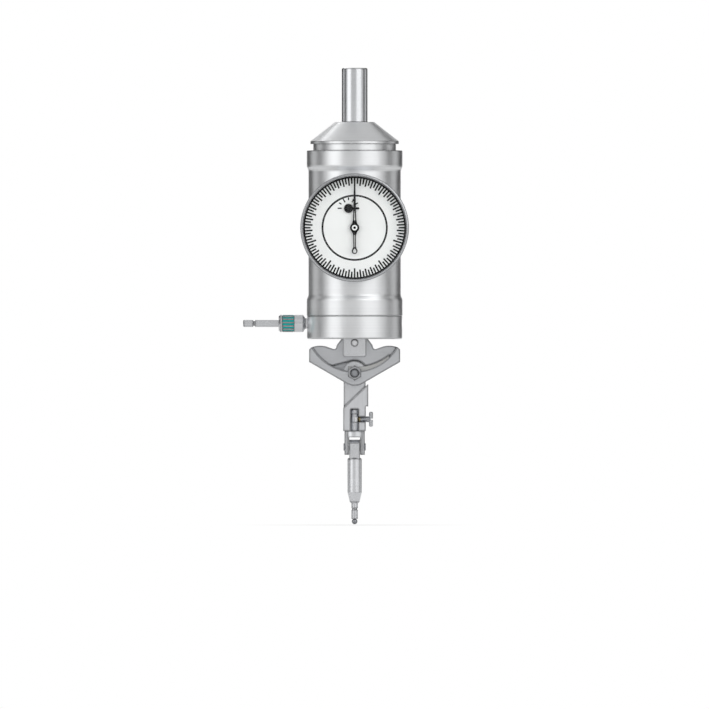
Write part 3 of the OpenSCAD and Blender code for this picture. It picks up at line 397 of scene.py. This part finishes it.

# Each share below is how much of the colour stays where shade is painted along the edges
spindle_turned = turned("spindle_turned", STEEL, 0.24, ORIGIN, Z_AXIS, edge=0.3, share=0.15)
chrome_turned = turned("chrome_turned", CHROME, 0.33, ORIGIN, Z_AXIS, pitch=0.2, depth=0.008)
bezel_turned = turned(
    "bezel_turned", RIM_STEEL, 0.28, DIAL_CENTRE, Y_AXIS, pitch=0.15, edge=0.3, share=0.12
)
case_turned = turned("case_turned", CHROME, 0.33, DIAL_CENTRE, Y_AXIS, pitch=0.15)
race_turned = turned("race_turned", BRIGHT, 0.15, ORIGIN, Z_AXIS)
dark_turned = turned("dark_turned", DARK, 0.34, ORIGIN, Z_AXIS)
feeler_turned = turned("feeler_turned", STEEL, 0.24, ORIGIN, Z_AXIS, edge=0.32, share=0.12)
rod_turned = turned("rod_turned", STEEL, 0.24, ROD_CENTRE, X_AXIS, edge=0.3, share=0.12)
screw_turned = turned(
    "screw_turned", STEEL, 0.26, SCREW_CENTRE, X_AXIS, pitch=0.1, edge=0.08, share=0.5
)
bolt_turned = turned("bolt_turned", BOLT_STEEL, 0.30, BOLT_CENTRE, Y_AXIS, pitch=0.1)
nut_turned = turned(
    "nut_turned", ROCKER_STEEL, 0.30, BOLT_CENTRE, Y_AXIS, pitch=0.1, edge=0.42, share=0.06
)
rivet_turned = turned("rivet_turned", BRIGHT, 0.25, PIVOT_CENTRE, Y_AXIS, edge=0.4, share=0.08)
pin_turned = turned("pin_turned", BRIGHT, 0.2, ORIGIN, X_AXIS)
rocker_ground = ground(
    "rocker_ground", ROCKER_STEEL, 0.34, (120.0, 900.0, 3500.0), edge=0.42, share=0.14
)
arm_ground = ground("arm_ground", ARM_STEEL, 0.34, (3500.0, 900.0, 120.0), edge=0.42, share=0.14)
brass_ground = ground("brass_ground", BRASS, 0.3, ROLLED)
brass_turned = turned("brass_turned", BRASS, 0.28, ORIGIN, Z_AXIS)
leaf_rolled = ground("leaf_rolled", LEAF_STEEL, 0.3, ROLLED)
blued_strip = ground("blued_strip", BLUED, 0.25, (800.0, 800.0, 800.0))
bright_fine = ground("bright_fine", BRIGHT, 0.16, (700.0, 700.0, 700.0), depth=0.002)
dark_fine = ground("dark_fine", DARK, 0.32, (900.0, 900.0, 900.0), depth=0.003)
dial_paint = painted("dial_paint", DIAL_WHITE, 0.5)
ink = painted("ink", INK, 0.55, grain=0.001, specular=0.1)
hand_paint = painted("hand_paint", INK, 0.4, grain=0.001, specular=0.2)
stripe_paint = painted("stripe_paint", STRIPE, 0.5)
crystal_clear = glass("crystal_clear")
seal_felt = felt("seal_felt", FELT)
nut_knurled = knurled("nut_knurled", STEEL, 0.26, TEAL, edge=0.25, share=0.12)

NODE_MATERIALS = {
    spindle_turned: ["spindle", "push_rod"],
    chrome_turned: ["body_shell", "lower_ring", "upper_cover"],
    bezel_turned: ["bezel"],
    case_turned: ["dial_case"],
    race_turned: ["upper_inner_race", "lower_inner_race", "upper_outer_race", "lower_outer_race"],
    dark_turned: ["spindle_nut", "upper_circlip", "lower_circlip"],
    feeler_turned: ["feeler_body", "fork", "feeler_tip"],
    rod_turned: ["restraint_rod"],
    screw_turned: ["thumb_screw"],
    bolt_turned: ["arm_bolt", "wave_washer"],
    nut_turned: ["hex_nut"],
    rivet_turned: ["rocker_pin"],
    pin_turned: ["cross_pin"],
    rocker_ground: ["rocker"],
    arm_ground: ["swing_arm"],
    brass_ground: ["front_plate", "rear_plate", "sector_lever", "counter_wheel"],
    brass_turned: ["lift_collar", "pillars", "clamp_pad"],
    leaf_rolled: ["friction_leaf"],
    blued_strip: ["hairspring"],
    bright_fine: [
        "upper_balls",
        "lower_balls",
        "upper_retainer",
        "lower_retainer",
        "lever_arbor",
        "counter_arbor",
        "pointer_arbor",
    ],
    dark_fine: ["return_spring", "bezel_wire", "plate_screws", "contact_ball", "fork_pin"],
    dial_paint: ["centre_dial", "graduated_ring"],
    hand_paint: ["counter_hand", "pointer"],
    crystal_clear: ["crystal"],
    seal_felt: ["dust_seal"],
    nut_knurled: ["knurled_nut"],
}
for material, names in NODE_MATERIALS.items():
    for name in names:
        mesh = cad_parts[name].data
        mesh.materials.clear()
        mesh.materials.append(material)


# Ways to make a piece

# Points that lie closer than this, in metres, are one point
WELD = 1e-7
# Edges that are shorter than this, in metres, are dissolved
SLIVER = 1e-8
# Edges that turn by more than this are sharp, in degrees
SHARP = 30.0

# Where a radius and a place along an axis go, from the cosine and sine about that axis
AXES = {
    "x": lambda r, along, c, s: (along, r * s, r * c),
    "y": lambda r, along, c, s: (r * s, -along, r * c),
    "z": lambda r, along, c, s: (r * c, r * s, along),
}


def mesh_of(name, bm):
    """A closed mesh with its faces turned outwards."""
    bmesh.ops.remove_doubles(bm, verts=bm.verts, dist=WELD)
    bmesh.ops.recalc_face_normals(bm, faces=bm.faces)
    mesh = bpy.data.meshes.new(name)
    bm.to_mesh(mesh)
    bm.free()
    return mesh


def add(name, made, material, body, smooth=SHARP):
    """A new object from a bmesh or a finished mesh, riding on a body."""
    mesh = mesh_of(name, made) if isinstance(made, bmesh.types.BMesh) else made
    mesh.materials.append(material)
    if smooth:
        mesh.shade_smooth()
        mesh.set_sharp_from_angle(angle=math.radians(smooth))
    obj = bpy.data.objects.new(name, mesh)
    bpy.context.scene.collection.objects.link(obj)
    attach(obj, body)
    return obj


def evaluated_mesh(obj):
    """The object's mesh with its modifiers applied."""
    bpy.context.view_layer.update()
    graph = bpy.context.evaluated_depsgraph_get()
    return bpy.data.meshes.new_from_object(obj.evaluated_get(graph))


def vert(bm, x, y, z):
    """A new point of a bmesh."""
    return bm.verts.new((x * MM, y * MM, z * MM))


def close_rows(bm, rows):
    """Faces from each row of points to the next, and from the last row to the first."""
    for a, b in zip(rows, rows[1:] + rows[:1]):
        for k in range(len(a)):
            j = (k + 1) % len(a)
            bm.faces.new((a[k], a[j], b[j], b[k]))


def spun(profile, steps, axis, centre=ORIGIN):
    """A closed solid of revolution.

    profile(angle) gives a closed loop of (radius, along) points, as many at every angle.
    For axis y, along counts forward.
    """
    bm = bmesh.new()
    rows = []
    for i in range(steps):
        angle = 2 * math.pi * i / steps
        c = math.cos(angle)
        s = math.sin(angle)
        row = []
        for r, along in profile(math.degrees(angle)):
            x, y, z = AXES[axis](r, along, c, s)
            row.append(vert(bm, x + centre[0], y + centre[1], z + centre[2]))
        rows.append(row)
    close_rows(bm, rows)
    bmesh.ops.remove_doubles(bm, verts=bm.verts, dist=WELD)
    bmesh.ops.dissolve_degenerate(bm, edges=bm.edges, dist=SLIVER)
    return bm


def flat(name, loops, back, front, bevel, centre):
    """A flat piece with bevelled edges, from closed loops of (x, z) about its centre."""
    curve = bpy.data.curves.new(name, "CURVE")
    curve.dimensions = "2D"
    curve.fill_mode = "BOTH"
    curve.extrude = ((front - back) / 2 - bevel) * MM
    curve.bevel_depth = bevel * MM
    curve.bevel_resolution = 2
    curve.offset = -bevel * MM
    for loop in loops:
        spline = curve.splines.new("POLY")
        spline.points.add(len(loop) - 1)
        for point, (x, z) in zip(spline.points, loop):
            point.co = (x * MM, z * MM, 0, 1)
        spline.use_cyclic_u = True
    obj = bpy.data.objects.new(name, curve)
    bpy.context.scene.collection.objects.link(obj)
    made = evaluated_mesh(obj)
    made.name = name
    bpy.data.objects.remove(obj)
    middle = -(front + back) / 2 * MM
    made.transform(Matrix(((1, 0, 0, 0), (0, 0, -1, middle), (0, 1, 0, 0), (0, 0, 0, 1))))
    bm = bmesh.new()
    bm.from_mesh(made)
    bmesh.ops.translate(bm, verts=bm.verts, vec=(centre.x * MM, 0, centre.z * MM))
    return bm


def slab(bm, outline, back, front):
    """Adds a flat piece with an outline of (x, z) about the dial's centre."""
    rows = []
    for depth in (back, front):
        rows.append([vert(bm, x, -depth, DIAL_Z + z) for x, z in outline])
    bm.faces.new(rows[0])
    bm.faces.new(list(reversed(rows[1])))
    for i in range(len(outline)):
        j = (i + 1) % len(outline)
        bm.faces.new((rows[0][j], rows[0][i], rows[1][i], rows[1][j]))


def band(bm, inner, outer, back, front, steps):
    """Adds a flat ring about the dial's centre."""
    rows = []
    for depth, r in ((back, inner), (back, outer), (front, outer), (front, inner)):
        rows.append([vert(bm, x, -depth, DIAL_Z + z) for x, z in arc(0, 0, r, 0, 360, steps)[:-1]])
    close_rows(bm, rows)


def arc(x, z, r, start, end, steps):
    """Points on a circle about (x, z), at angles from +X."""
    made = []
    for i in range(steps + 1):
        angle = math.radians(start + (end - start) * i / steps)
        made.append((x + r * math.cos(angle), z + r * math.sin(angle)))
    return made


def turn(point, angle):
    """(x, z) turned clockwise from the top."""
    angle = math.radians(angle)
    x, z = point
    return (
        x * math.cos(angle) + z * math.sin(angle),
        -x * math.sin(angle) + z * math.cos(angle),
    )


def boss(inner, outer, back, front, edge):
    """Profile of a ring, or of a disc where inner is 0, with a bevelled front edge."""
    loop = [(inner, back), (outer, back), (outer, front - edge), (outer - edge, front)]
    if inner:
        loop += [(inner + edge, front), (inner, front - edge)]
    else:
        loop += [(inner, front)]
    return lambda angle: loop


def thread(r, start, end, pitch, depth):
    """Points along a thread, from start to end."""
    count = max(1, round((end - start) / pitch))
    step = (end - start) / count
    made = []
    for i in range(count):
        at = start + i * step
        made += [(r - depth, at), (r, at + 0.35 * step), (r, at + 0.65 * step)]
    return made + [(r - depth, end)]


def hex_radius(half, angle, start):
    """Radius of a hexagon at an angle. Its flats are half away from its centre."""
    return half / math.cos(math.radians((angle - start + 30) % 60 - 30))


def ripple(angle, count):
    """1 at each of so many grooves round a rim, and 0 halfway between them."""
    return 1 - abs((angle * count / 360) % 1 - 0.5) * 2


def cut_box(name, bm, low, high):
    """The mesh of a piece with a box cut out of it."""
    box = bmesh.new()
    bmesh.ops.create_cube(box, size=1)
    size = [(h - l) * MM for l, h in zip(low, high)]
    middle = [(h + l) / 2 * MM for l, h in zip(low, high)]
    bmesh.ops.scale(box, vec=size, verts=box.verts)
    bmesh.ops.translate(box, vec=middle, verts=box.verts)
    cutter_mesh = bpy.data.meshes.new("cutter")
    box.to_mesh(cutter_mesh)
    box.free()
    cutter = bpy.data.objects.new("cutter", cutter_mesh)
    body = bpy.data.objects.new("body", mesh_of(name, bm))
    for obj in (cutter, body):
        bpy.context.scene.collection.objects.link(obj)
    tool = body.modifiers.new("cut", "BOOLEAN")
    tool.object = cutter
    tool.solver = "EXACT"
    made = evaluated_mesh(body)
    made.name = name + "_slotted"
    bpy.data.objects.remove(cutter)
    bpy.data.objects.remove(body)
    return made


# Print on the two dials

RING_BACK, FACE = depths_of("graduated_ring")
CENTRE_OUT = half_of("centre_dial")
RING_IN = CENTRE_OUT + 0.15
# The print starts just under the face and stands just over it
INK_BACK = FACE - 0.01
INK_FRONT = FACE + 0.03
# A printed edge line keeps off the edge itself
INK_INSET = 0.01


def mark(bm, angle, inner, outer, half, x=0.0, z=0.0):
    """Adds a printed line between two radii, clockwise from the top about (x, z)."""
    corners = [(-half, inner), (half, inner), (half, outer), (-half, outer)]
    outline = [turn(corner, angle) for corner in corners]
    slab(bm, [(u + x, v + z) for u, v in outline], INK_BACK, INK_FRONT)


# Graduations: every second mark is longer and every tenth the longest
TICKS = 100
TICK_HALF = 0.3
TICK_OUTER = 19.22
TICK_LONG = 15.7
TICK_MEDIUM = 16.35
TICK_SHORT = 17.05
OUTER_LINE_IN = 19.2
OUTER_LINE_OUT = 19.78
OUTER_STEPS = 192
INNER_LINE_W = 0.25
INNER_STEPS = 144
bm = bmesh.new()
for i in range(TICKS):
    inner = TICK_LONG if i % 10 == 0 else TICK_MEDIUM if i % 2 == 0 else TICK_SHORT
    mark(bm, 360 * i / TICKS, inner, TICK_OUTER, TICK_HALF)
band(bm, OUTER_LINE_IN, OUTER_LINE_OUT, INK_BACK, INK_FRONT, OUTER_STEPS)
line_in = RING_IN + INK_INSET
band(bm, line_in, line_in + INNER_LINE_W, INK_BACK, INK_FRONT, INNER_STEPS)
add("dial_graduations", bm, ink, "bezel", 0)

# Edge line of the centre dial, and the revolution counter's marks over half a turn
CENTRE_LINE_W = 0.29
COUNTS = 7
COUNT_STEP = 30
COUNT_HALF = 0.24
COUNT_OUTER = 4.2
COUNT_LONG = 2.65
COUNT_SHORT = 3.15
bm = bmesh.new()
line_out = CENTRE_OUT - INK_INSET
band(bm, line_out - CENTRE_LINE_W, line_out, INK_BACK, INK_FRONT, INNER_STEPS)
for i in range(COUNTS):
    inner = COUNT_LONG if i % 2 == 0 else COUNT_SHORT
    angle = COUNT_STEP * i - 90
    mark(bm, angle, inner, COUNT_OUTER, COUNT_HALF, COUNTER_X, COUNTER_Z - DIAL_Z)
add("centre_marks", bm, ink, "housing", 0)

# Black ring behind the gap between the two dials: painted shade that makes the gap read dark
GAP_SHADE_IN = CENTRE_OUT - 0.5
GAP_SHADE_OUT = CENTRE_OUT + 0.6
GAP_SHADE_BACK = RING_BACK - 0.13
GAP_SHADE_T = 0.08
bm = bmesh.new()
band(bm, GAP_SHADE_IN, GAP_SHADE_OUT, GAP_SHADE_BACK, GAP_SHADE_BACK + GAP_SHADE_T, INNER_STEPS)
add("dial_gap_shade", bm, ink, "housing", 0)


# Hands

HAND_T = 0.32
HAND_EDGE = 0.06
HAND_BACK = depths_of("pointer")[0]

# Pointer: the right half of its outline, from the point past a round hub to an open drop
HUB_R = 1.8
HUB_ANGLE = 52
POINT_SIDE = [(0.2, 19.4), (0.62, 3.4), (0.8, 2.3)]
TAIL_SIDE = [(0.62, -2.5), (0.54, -3.4), (0.5, -7.3), (0.72, -8.0)]
DROP_Z = -9.05
DROP_R = 1.12
HOLE_Z = -9.1
HOLE_R = 0.66
HOLE_NECK = [(0.1, -8.15), (-0.1, -8.15)]
right = POINT_SIDE + arc(0, 0, HUB_R, HUB_ANGLE, -HUB_ANGLE, 12)
right += TAIL_SIDE + arc(0, DROP_Z, DROP_R, 20, -80, 8)
outline = right + [(-x, z) for x, z in reversed(right)]
hole = arc(0, HOLE_Z, HOLE_R, 150, 390, 12) + HOLE_NECK
hand_front = HAND_BACK + HAND_T
bm = flat("pointer_hand", [outline, hole], HAND_BACK, hand_front, HAND_EDGE, DIAL_CENTRE)
hand = add("pointer_hand", bm, hand_paint, "pointer")
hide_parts("pointer")

# Pale stripes along the pointer, on both sides of its hub
STRIPE_T = 0.06
STRIPE_FRONT = hand_front + 0.02
POINT_STRIPE = [(-0.22, 2.8), (0.22, 2.8), (0.05, 6.6), (-0.05, 6.6)]
TAIL_STRIPE = [(-0.12, -7.5), (0.12, -7.5), (0.15, -2.8), (-0.15, -2.8)]
bm = bmesh.new()
for outline in (POINT_STRIPE, TAIL_STRIPE):
    slab(bm, outline, STRIPE_FRONT - STRIPE_T, STRIPE_FRONT)
add("pointer_stripes", bm, stripe_paint, "pointer", 0)

# Rings on the pointer's hub: name, bore, radius, back and front over the hand's back,
# bevel, steps, material and slot
HUB_RINGS = (
    ("pointer_hub", 0.35, HUB_R - 0.1, 0.3, 0.6, 0.1, 48, hand_paint, "hand_black"),
    ("pointer_bush", 0.35, 1.08, 0.55, 0.72, 0.06, 48, dial_paint, "bright_steel"),
    ("pointer_stud", 0, 0.5, 0.55, 0.98, 0.12, 32, ink, "hand_black"),
)
for name, bore, radius, back, front, edge, steps, material, slot in HUB_RINGS:
    profile = boss(bore, radius, HAND_BACK + back, HAND_BACK + front, edge)
    add(name, spun(profile, steps, "y", DIAL_CENTRE), material, "pointer")

# Revolution counter's hand: a disc with a short neck, and its boss
DISC_R = 1.75
NECK_ANGLE = 15
NECK_END = 3.75
NECK_R = 0.4
COUNTER_BACK = depths_of("counter_hand")[0]
outline = arc(0, 0, DISC_R, NECK_ANGLE, 360 - NECK_ANGLE, 40)
outline += arc(NECK_END, 0, NECK_R, -90, 90, 8)
disc_front = COUNTER_BACK + HAND_T
bm = flat("counter_hand_disc", [outline], COUNTER_BACK, disc_front, HAND_EDGE, COUNTER_CENTRE)
disc = add("counter_hand_disc", bm, hand_paint, "counter")
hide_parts("counter_hand")
profile = boss(0, 0.62, COUNTER_BACK + 0.3, COUNTER_BACK + 0.66, 0.1)
bm = spun(profile, 32, "y", COUNTER_CENTRE)
add("counter_hand_boss", bm, hand_paint, "counter")


# Hex nut with chamfered corners

BOLT_R = 1.45
NUT_HALF = half_of("hex_nut")
NUT_BACK, NUT_FRONT = depths_of("hex_nut")
NUT_BORE = BOLT_R + 0.02
NUT_LEAD = 0.25
# Radius at which the corners' chamfer starts, its slope and its least height
CHAMFER_R = NUT_HALF * 1.05
CHAMFER_SLOPE = math.tan(math.radians(30))
CHAMFER_MIN = 0.02


def nut_profile(angle):
    """The nut's section, with a lead into its bore at the front."""
    r = hex_radius(NUT_HALF, angle, 90)
    cut = max(0, r - CHAMFER_R) * CHAMFER_SLOPE + CHAMFER_MIN
    face_r = min(r, CHAMFER_R)
    return [
        (NUT_BORE, NUT_BACK),
        (face_r, NUT_BACK),
        (r, NUT_BACK + cut),
        (r, NUT_FRONT - cut),
        (face_r, NUT_FRONT),
        (BOLT_R + NUT_LEAD, NUT_FRONT),
        (NUT_BORE, NUT_FRONT - NUT_LEAD),
    ]


bm = spun(nut_profile, 120, "y", BOLT_CENTRE)
nut = add("hex_nut_cut", bm, nut_turned, "rocker")
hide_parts("hex_nut")

# Arm's bolt with a threaded end, and a socket in its head at the back
BOLT_BACK, BOLT_FRONT = depths_of("arm_bolt")
HEAD_R = half_of("arm_bolt")
HEAD_EDGE = 0.35
UNDER_HEAD = BOLT_BACK + 1.9
BOLT_LEAD = 0.3
BOLT_TIP = 0.15
BOLT_PITCH = 0.45
BOLT_GROOVE = 0.16
# Length of the plain shank under the head, and how far from there the thread starts
PLAIN_L = 2.7
THREAD_FROM = 3
SOCKET_HALF = 1.15
SOCKET_LEAD = 0.08
SOCKET_WALL = 1.1
SOCKET_L = 1.5


def bolt_profile(angle):
    """The bolt's section, from its front end to the bottom of its socket."""
    socket = hex_radius(SOCKET_HALF, angle, 0)
    start = UNDER_HEAD + THREAD_FROM
    shank = thread(BOLT_R, start, BOLT_FRONT - BOLT_TIP, BOLT_PITCH, BOLT_GROOVE)
    return [
        (0, BOLT_FRONT),
        (BOLT_R - BOLT_LEAD, BOLT_FRONT),
        *reversed(shank),
        (BOLT_R, UNDER_HEAD + PLAIN_L),
        (BOLT_R, UNDER_HEAD),
        (HEAD_R, UNDER_HEAD),
        (HEAD_R, BOLT_BACK + HEAD_EDGE),
        (HEAD_R - HEAD_EDGE, BOLT_BACK),
        (socket + SOCKET_LEAD, BOLT_BACK),
        (socket, BOLT_BACK + SOCKET_LEAD),
        (socket, BOLT_BACK + SOCKET_WALL),
        (0, BOLT_BACK + SOCKET_L),
    ]


bm = spun(bolt_profile, 96, "y", BOLT_CENTRE)
bolt = add("arm_bolt_cut", bm, bolt_turned, "rocker")
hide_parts("arm_bolt")

# Thumb screw with a knurled rim and a driver slot
KNOB_R = half_of("thumb_screw", 2)
STEM_START = bounds_of("thumb_screw")[0].x
KNOB_END = bounds_of("thumb_screw")[1].x
KNOB_START = KNOB_END - 1.54
KNOB_EDGE = 0.3
KNOB_FACE_R = KNOB_R - 0.45
STEM_R = 1.175
STEM_LEAD = 0.2
STEM_PITCH = 0.4
STEM_GROOVE = 0.14
STEM_THREAD_START = STEM_START + 0.15
STEM_THREAD_END = KNOB_START - 0.3
STEM_PLAIN_START = KNOB_START - 0.25
KNURLS = 36
KNURL_DEPTH = 0.16
KNURL_POWER = 0.7
SLOT_DEPTH = 0.75
SLOT_HALF = 0.25
# Reach of the box that cuts the slot, past the knob's rim and its end
SLOT_REACH = 5
SLOT_PAST = 1


def knob_profile(angle):
    """The screw's section, from its end in the arm to the face of its knob."""
    rim = KNOB_R - KNURL_DEPTH * ripple(angle, KNURLS) ** KNURL_POWER
    return [
        (0, STEM_START),
        (STEM_R - STEM_LEAD, STEM_START),
        *thread(STEM_R, STEM_THREAD_START, STEM_THREAD_END, STEM_PITCH, STEM_GROOVE),
        (STEM_R, STEM_PLAIN_START),
        (STEM_R, KNOB_START),
        (KNOB_FACE_R, KNOB_START),
        (rim, KNOB_START + KNOB_EDGE),
        (rim, KNOB_END - KNOB_EDGE),
        (KNOB_FACE_R, KNOB_END),
        (0, KNOB_END),
    ]


bm = spun(knob_profile, KNURLS * 6, "x", SCREW_CENTRE)
slot_low = (KNOB_END - SLOT_DEPTH, -SLOT_REACH, SCREW_CENTRE.z - SLOT_HALF)
slot_high = (KNOB_END + SLOT_PAST, SLOT_REACH, SCREW_CENTRE.z + SLOT_HALF)
knob_mesh = cut_box("thumb_screw_cut", bm, slot_low, slot_high)
knob = add("thumb_screw_cut", knob_mesh, screw_turned, "thumb_screw")
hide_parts("thumb_screw")

# Felt ring that keeps dust out of the lower bearing, slightly uneven inside and below
SEAL_LOW = bounds_of("dust_seal")[0].z
SEAL_HIGH = bounds_of("dust_seal")[1].z
SEAL_OUT = half_of("dust_seal")
SEAL_IN = half_of("spindle") + 0.05
SEAL_ROUND = 0.25
FUZZ = 0.05


def seal_profile(angle):
    """The ring's section, from the top of its bore down and round."""
    wave = math.sin(math.radians(angle * 23)) * math.sin(math.radians(angle * 7))
    fuzz = FUZZ * abs(wave)
    low = SEAL_LOW + FUZZ + fuzz
    inner = SEAL_IN + fuzz
    return [
        (inner, SEAL_HIGH),
        (inner, low + SEAL_ROUND),
        (inner + SEAL_ROUND, low),
        ((inner + SEAL_OUT) / 2, low - FUZZ + fuzz),
        (SEAL_OUT - SEAL_ROUND, low),
        (SEAL_OUT, low + SEAL_ROUND),
        (SEAL_OUT, SEAL_HIGH),
    ]


bm = spun(seal_profile, 180, "z")
seal = add("felt_ring", bm, seal_felt, "housing")
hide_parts("dust_seal")


# Bezel with a coin edge round its side

BEZEL_R = half_of("bezel")
BEZEL_BACK, BEZEL_FRONT = depths_of("bezel")
GLASS_R = half_of("graduated_ring")
BORE_R = GLASS_R - 0.75
FLUTES = 120
FLUTE_DEPTH = 0.16
BEZEL_EDGE = 0.25
# Where the flutes run out behind and in front
FLUTES_BACK = BEZEL_BACK + 1.1
FLUTES_FRONT = BEZEL_FRONT - 1.5
FLUTE_END = 0.2
# Rounding of the front edge, by two chamfers
FRONT_EDGE = 0.4
FRONT_NICK = 0.12


def bezel_profile(angle):
    """The bezel's section, from its bore round the fluted side to its front."""
    rim = BEZEL_R - FLUTE_DEPTH * ripple(angle, FLUTES)
    return [
        (BORE_R, BEZEL_BACK),
        (BEZEL_R - BEZEL_EDGE, BEZEL_BACK),
        (BEZEL_R, BEZEL_BACK + BEZEL_EDGE),
        (BEZEL_R, FLUTES_BACK),
        (rim, FLUTES_BACK + FLUTE_END),
        (rim, FLUTES_FRONT - FLUTE_END),
        (BEZEL_R, FLUTES_FRONT),
        (BEZEL_R, BEZEL_FRONT - FRONT_EDGE),
        (BEZEL_R - FRONT_NICK, BEZEL_FRONT - FRONT_NICK),
        (BEZEL_R - FRONT_EDGE, BEZEL_FRONT),
        (GLASS_R + BEZEL_EDGE, BEZEL_FRONT),
        (GLASS_R, BEZEL_FRONT - BEZEL_EDGE),
        (GLASS_R, RING_BACK),
        (BORE_R, RING_BACK),
    ]


bm = spun(bezel_profile, FLUTES * 4, "y", DIAL_CENTRE)
rim = add("bezel_fluted", bm, bezel_turned, "bezel")
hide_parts("bezel")

# Black ring that holds the crystal on its bevelled edge
CRYSTAL_FRONT = depths_of("crystal")[1]
HOLD_IN = GLASS_R - 0.36
HOLD_OUT = GLASS_R - 0.01
HOLD_BACK = CRYSTAL_FRONT + 0.01
HOLD_FRONT = CRYSTAL_FRONT + 0.28
HOLD_EDGE = 0.08
# The crystal's bevel: how far in it starts, and how deep the ring follows it
BEVEL_IN = 0.25
BEVEL_DEPTH = 0.24
HOLD_PROFILE = [
    (GLASS_R - BEVEL_IN, HOLD_BACK),
    (HOLD_OUT, HOLD_BACK - BEVEL_DEPTH),
    (HOLD_OUT, HOLD_FRONT - HOLD_EDGE),
    (HOLD_OUT - HOLD_EDGE, HOLD_FRONT),
    (HOLD_IN + HOLD_EDGE, HOLD_FRONT),
    (HOLD_IN, HOLD_FRONT - HOLD_EDGE),
    (HOLD_IN, HOLD_BACK),
]
bm = spun(lambda angle: HOLD_PROFILE, OUTER_STEPS, "y", DIAL_CENTRE)
add("crystal_ring", bm, hand_paint, "bezel")


# Stage: floor, backdrop, lamps, cards and camera. Its lengths are in metres.

# How far from the foot the camera sees the floor turn white, and how white it is there
FADE_NEAR = 0.008
FADE_FAR = 0.05
FADE_FROM = 0.6
FLOOR_SIZE = 6
FLOOR_GREY = 0.88
FLOOR_GAP = 0.0003
bpy.ops.mesh.primitive_plane_add(size=FLOOR_SIZE, location=(0, 0, cad_box[0].z - FLOOR_GAP))
floor = bpy.context.object
floor.name = "floor"
paint = Paint("stage_paint")
paint.set("Base Color", rgba((FLOOR_GREY, FLOOR_GREY, FLOOR_GREY)))
paint.set("Roughness", 0.9)
seen = paint.nodes.new("ShaderNodeLightPath").outputs["Is Camera Ray"]
reach = paint.vector("LENGTH", paint.place)
faded = paint.math("MULTIPLY", seen, paint.ramp(reach, FADE_NEAR, FADE_FAR, FADE_FROM, 1.0))
paint.blend(faded, paint.nodes.new("ShaderNodeEmission"))
floor.data.materials.append(paint.mat)

# Backdrop: white to the camera and through glass, a grey from horizon to zenith in
# reflections, and a plain strength for all other light
HORIZON = 0.6
ZENITH = 0.62
AMBIENT = 0.6
# Sines of the height at which the horizon's grey ends and the zenith's starts
HORIZON_TOP = 0.02
ZENITH_FOOT = 0.6
world = bpy.data.worlds.new("studio")
world.use_nodes = True
bpy.context.scene.world = world
sky = Tree(world.node_tree)
out = sky.nodes.new("ShaderNodeOutputWorld")
path = sky.nodes.new("ShaderNodeLightPath")
way = sky.nodes.new("ShaderNodeTexCoord").outputs["Generated"]
height = sky.math("ABSOLUTE", sky.vector("DOT_PRODUCT", way, tuple(Z_AXIS)))
level = sky.ramp(height, HORIZON_TOP, ZENITH_FOOT, HORIZON, ZENITH)
seen = sky.math("MAXIMUM", path.outputs["Is Camera Ray"], path.outputs["Is Transmission Ray"])
level = sky.math("MULTIPLY", level, sky.math("SUBTRACT", 1.0, seen))
glossy = sky.math("MULTIPLY", level, path.outputs["Is Glossy Ray"])
rest = sky.math("SUBTRACT", 1.0, sky.math("MAXIMUM", seen, path.outputs["Is Glossy Ray"]))
plain = sky.math("MULTIPLY", rest, AMBIENT)
light = sky.nodes.new("ShaderNodeBackground")
light.inputs["Color"].default_value = rgba((1.0, 1.0, 1.0))
sky.put(light.inputs["Strength"], sky.math("ADD", seen, sky.math("ADD", glossy, plain)))
sky.links.new(light.outputs[0], out.inputs[0])

# Where the lamps and the cards point
AIM = Vector((0, 0, -0.07))


def aim(obj, place, forward):
    """Places an object and turns its forward axis to AIM."""
    obj.location = place
    obj.rotation_mode = "QUATERNION"
    obj.rotation_quaternion = (AIM - Vector(place)).to_track_quat(forward, "Y")


def lamp(name, place, size, watts):
    """A rectangular lamp that points to AIM."""
    data = bpy.data.lights.new(name, "AREA")
    data.shape = "RECTANGLE"
    data.size, data.size_y = size
    data.energy = watts
    obj = bpy.data.objects.new(name, data)
    aim(obj, place, "-Z")
    bpy.context.scene.collection.objects.link(obj)


lamp("key", (0.9, -1.1, 0.75), (1.5, 1.8), 8.0)
lamp("fill", (-1.1, -0.9, 0.2), (0.9, 2.0), 5.0)
lamp("rim", (-0.5, 1.2, 0.9), (0.8, 0.5), 3.0)

CARD_HEIGHT = 1.6


def card(name, place, width, tone):
    """A dark studio card that only reflections see."""
    bpy.ops.mesh.primitive_plane_add(size=1)
    obj = bpy.context.object
    obj.name = name
    obj.scale = (width, CARD_HEIGHT, 1)
    aim(obj, place, "Z")
    paint = Paint(name)
    paint.set("Base Color", rgba((tone, tone, tone)))
    paint.set("Roughness", 1.0)
    paint.set("Specular IOR Level", 0.0)
    obj.data.materials.append(paint.mat)
    obj.visible_camera = False
    obj.visible_diffuse = False
    obj.visible_shadow = False
    obj.visible_transmission = False


for side in (-1, 1):
    card(f"card_back_{side}", (side * 0.55, 0.75, -0.05), 0.55, 0.05)
    card(f"card_side_{side}", (side * 1.0, 0.05, -0.05), 0.35, 0.12)

# Camera: level and far off. PIXEL is what one pixel spans at the spindle axis.
PIXEL = 0.388 * MM
IMAGE = 709
LENS = 1200.0
SENSOR = 36.0
EYE_X = -0.05 * MM
EYE_Z = -90.18 * MM
camera = bpy.data.cameras.new("camera")
camera.lens = LENS
camera.sensor_width = SENSOR
camera.clip_start = 0.01
camera.clip_end = 20.0
eye = bpy.data.objects.new("camera", camera)
eye.location = (EYE_X, -IMAGE * PIXEL * LENS / SENSOR, EYE_Z)
eye.rotation_mode = "QUATERNION"
eye.rotation_quaternion = Y_AXIS.to_track_quat("-Z", "Y")
bpy.context.scene.collection.objects.link(eye)
bpy.context.scene.camera = eye
bpy.context.scene.view_settings.view_transform = "Standard"
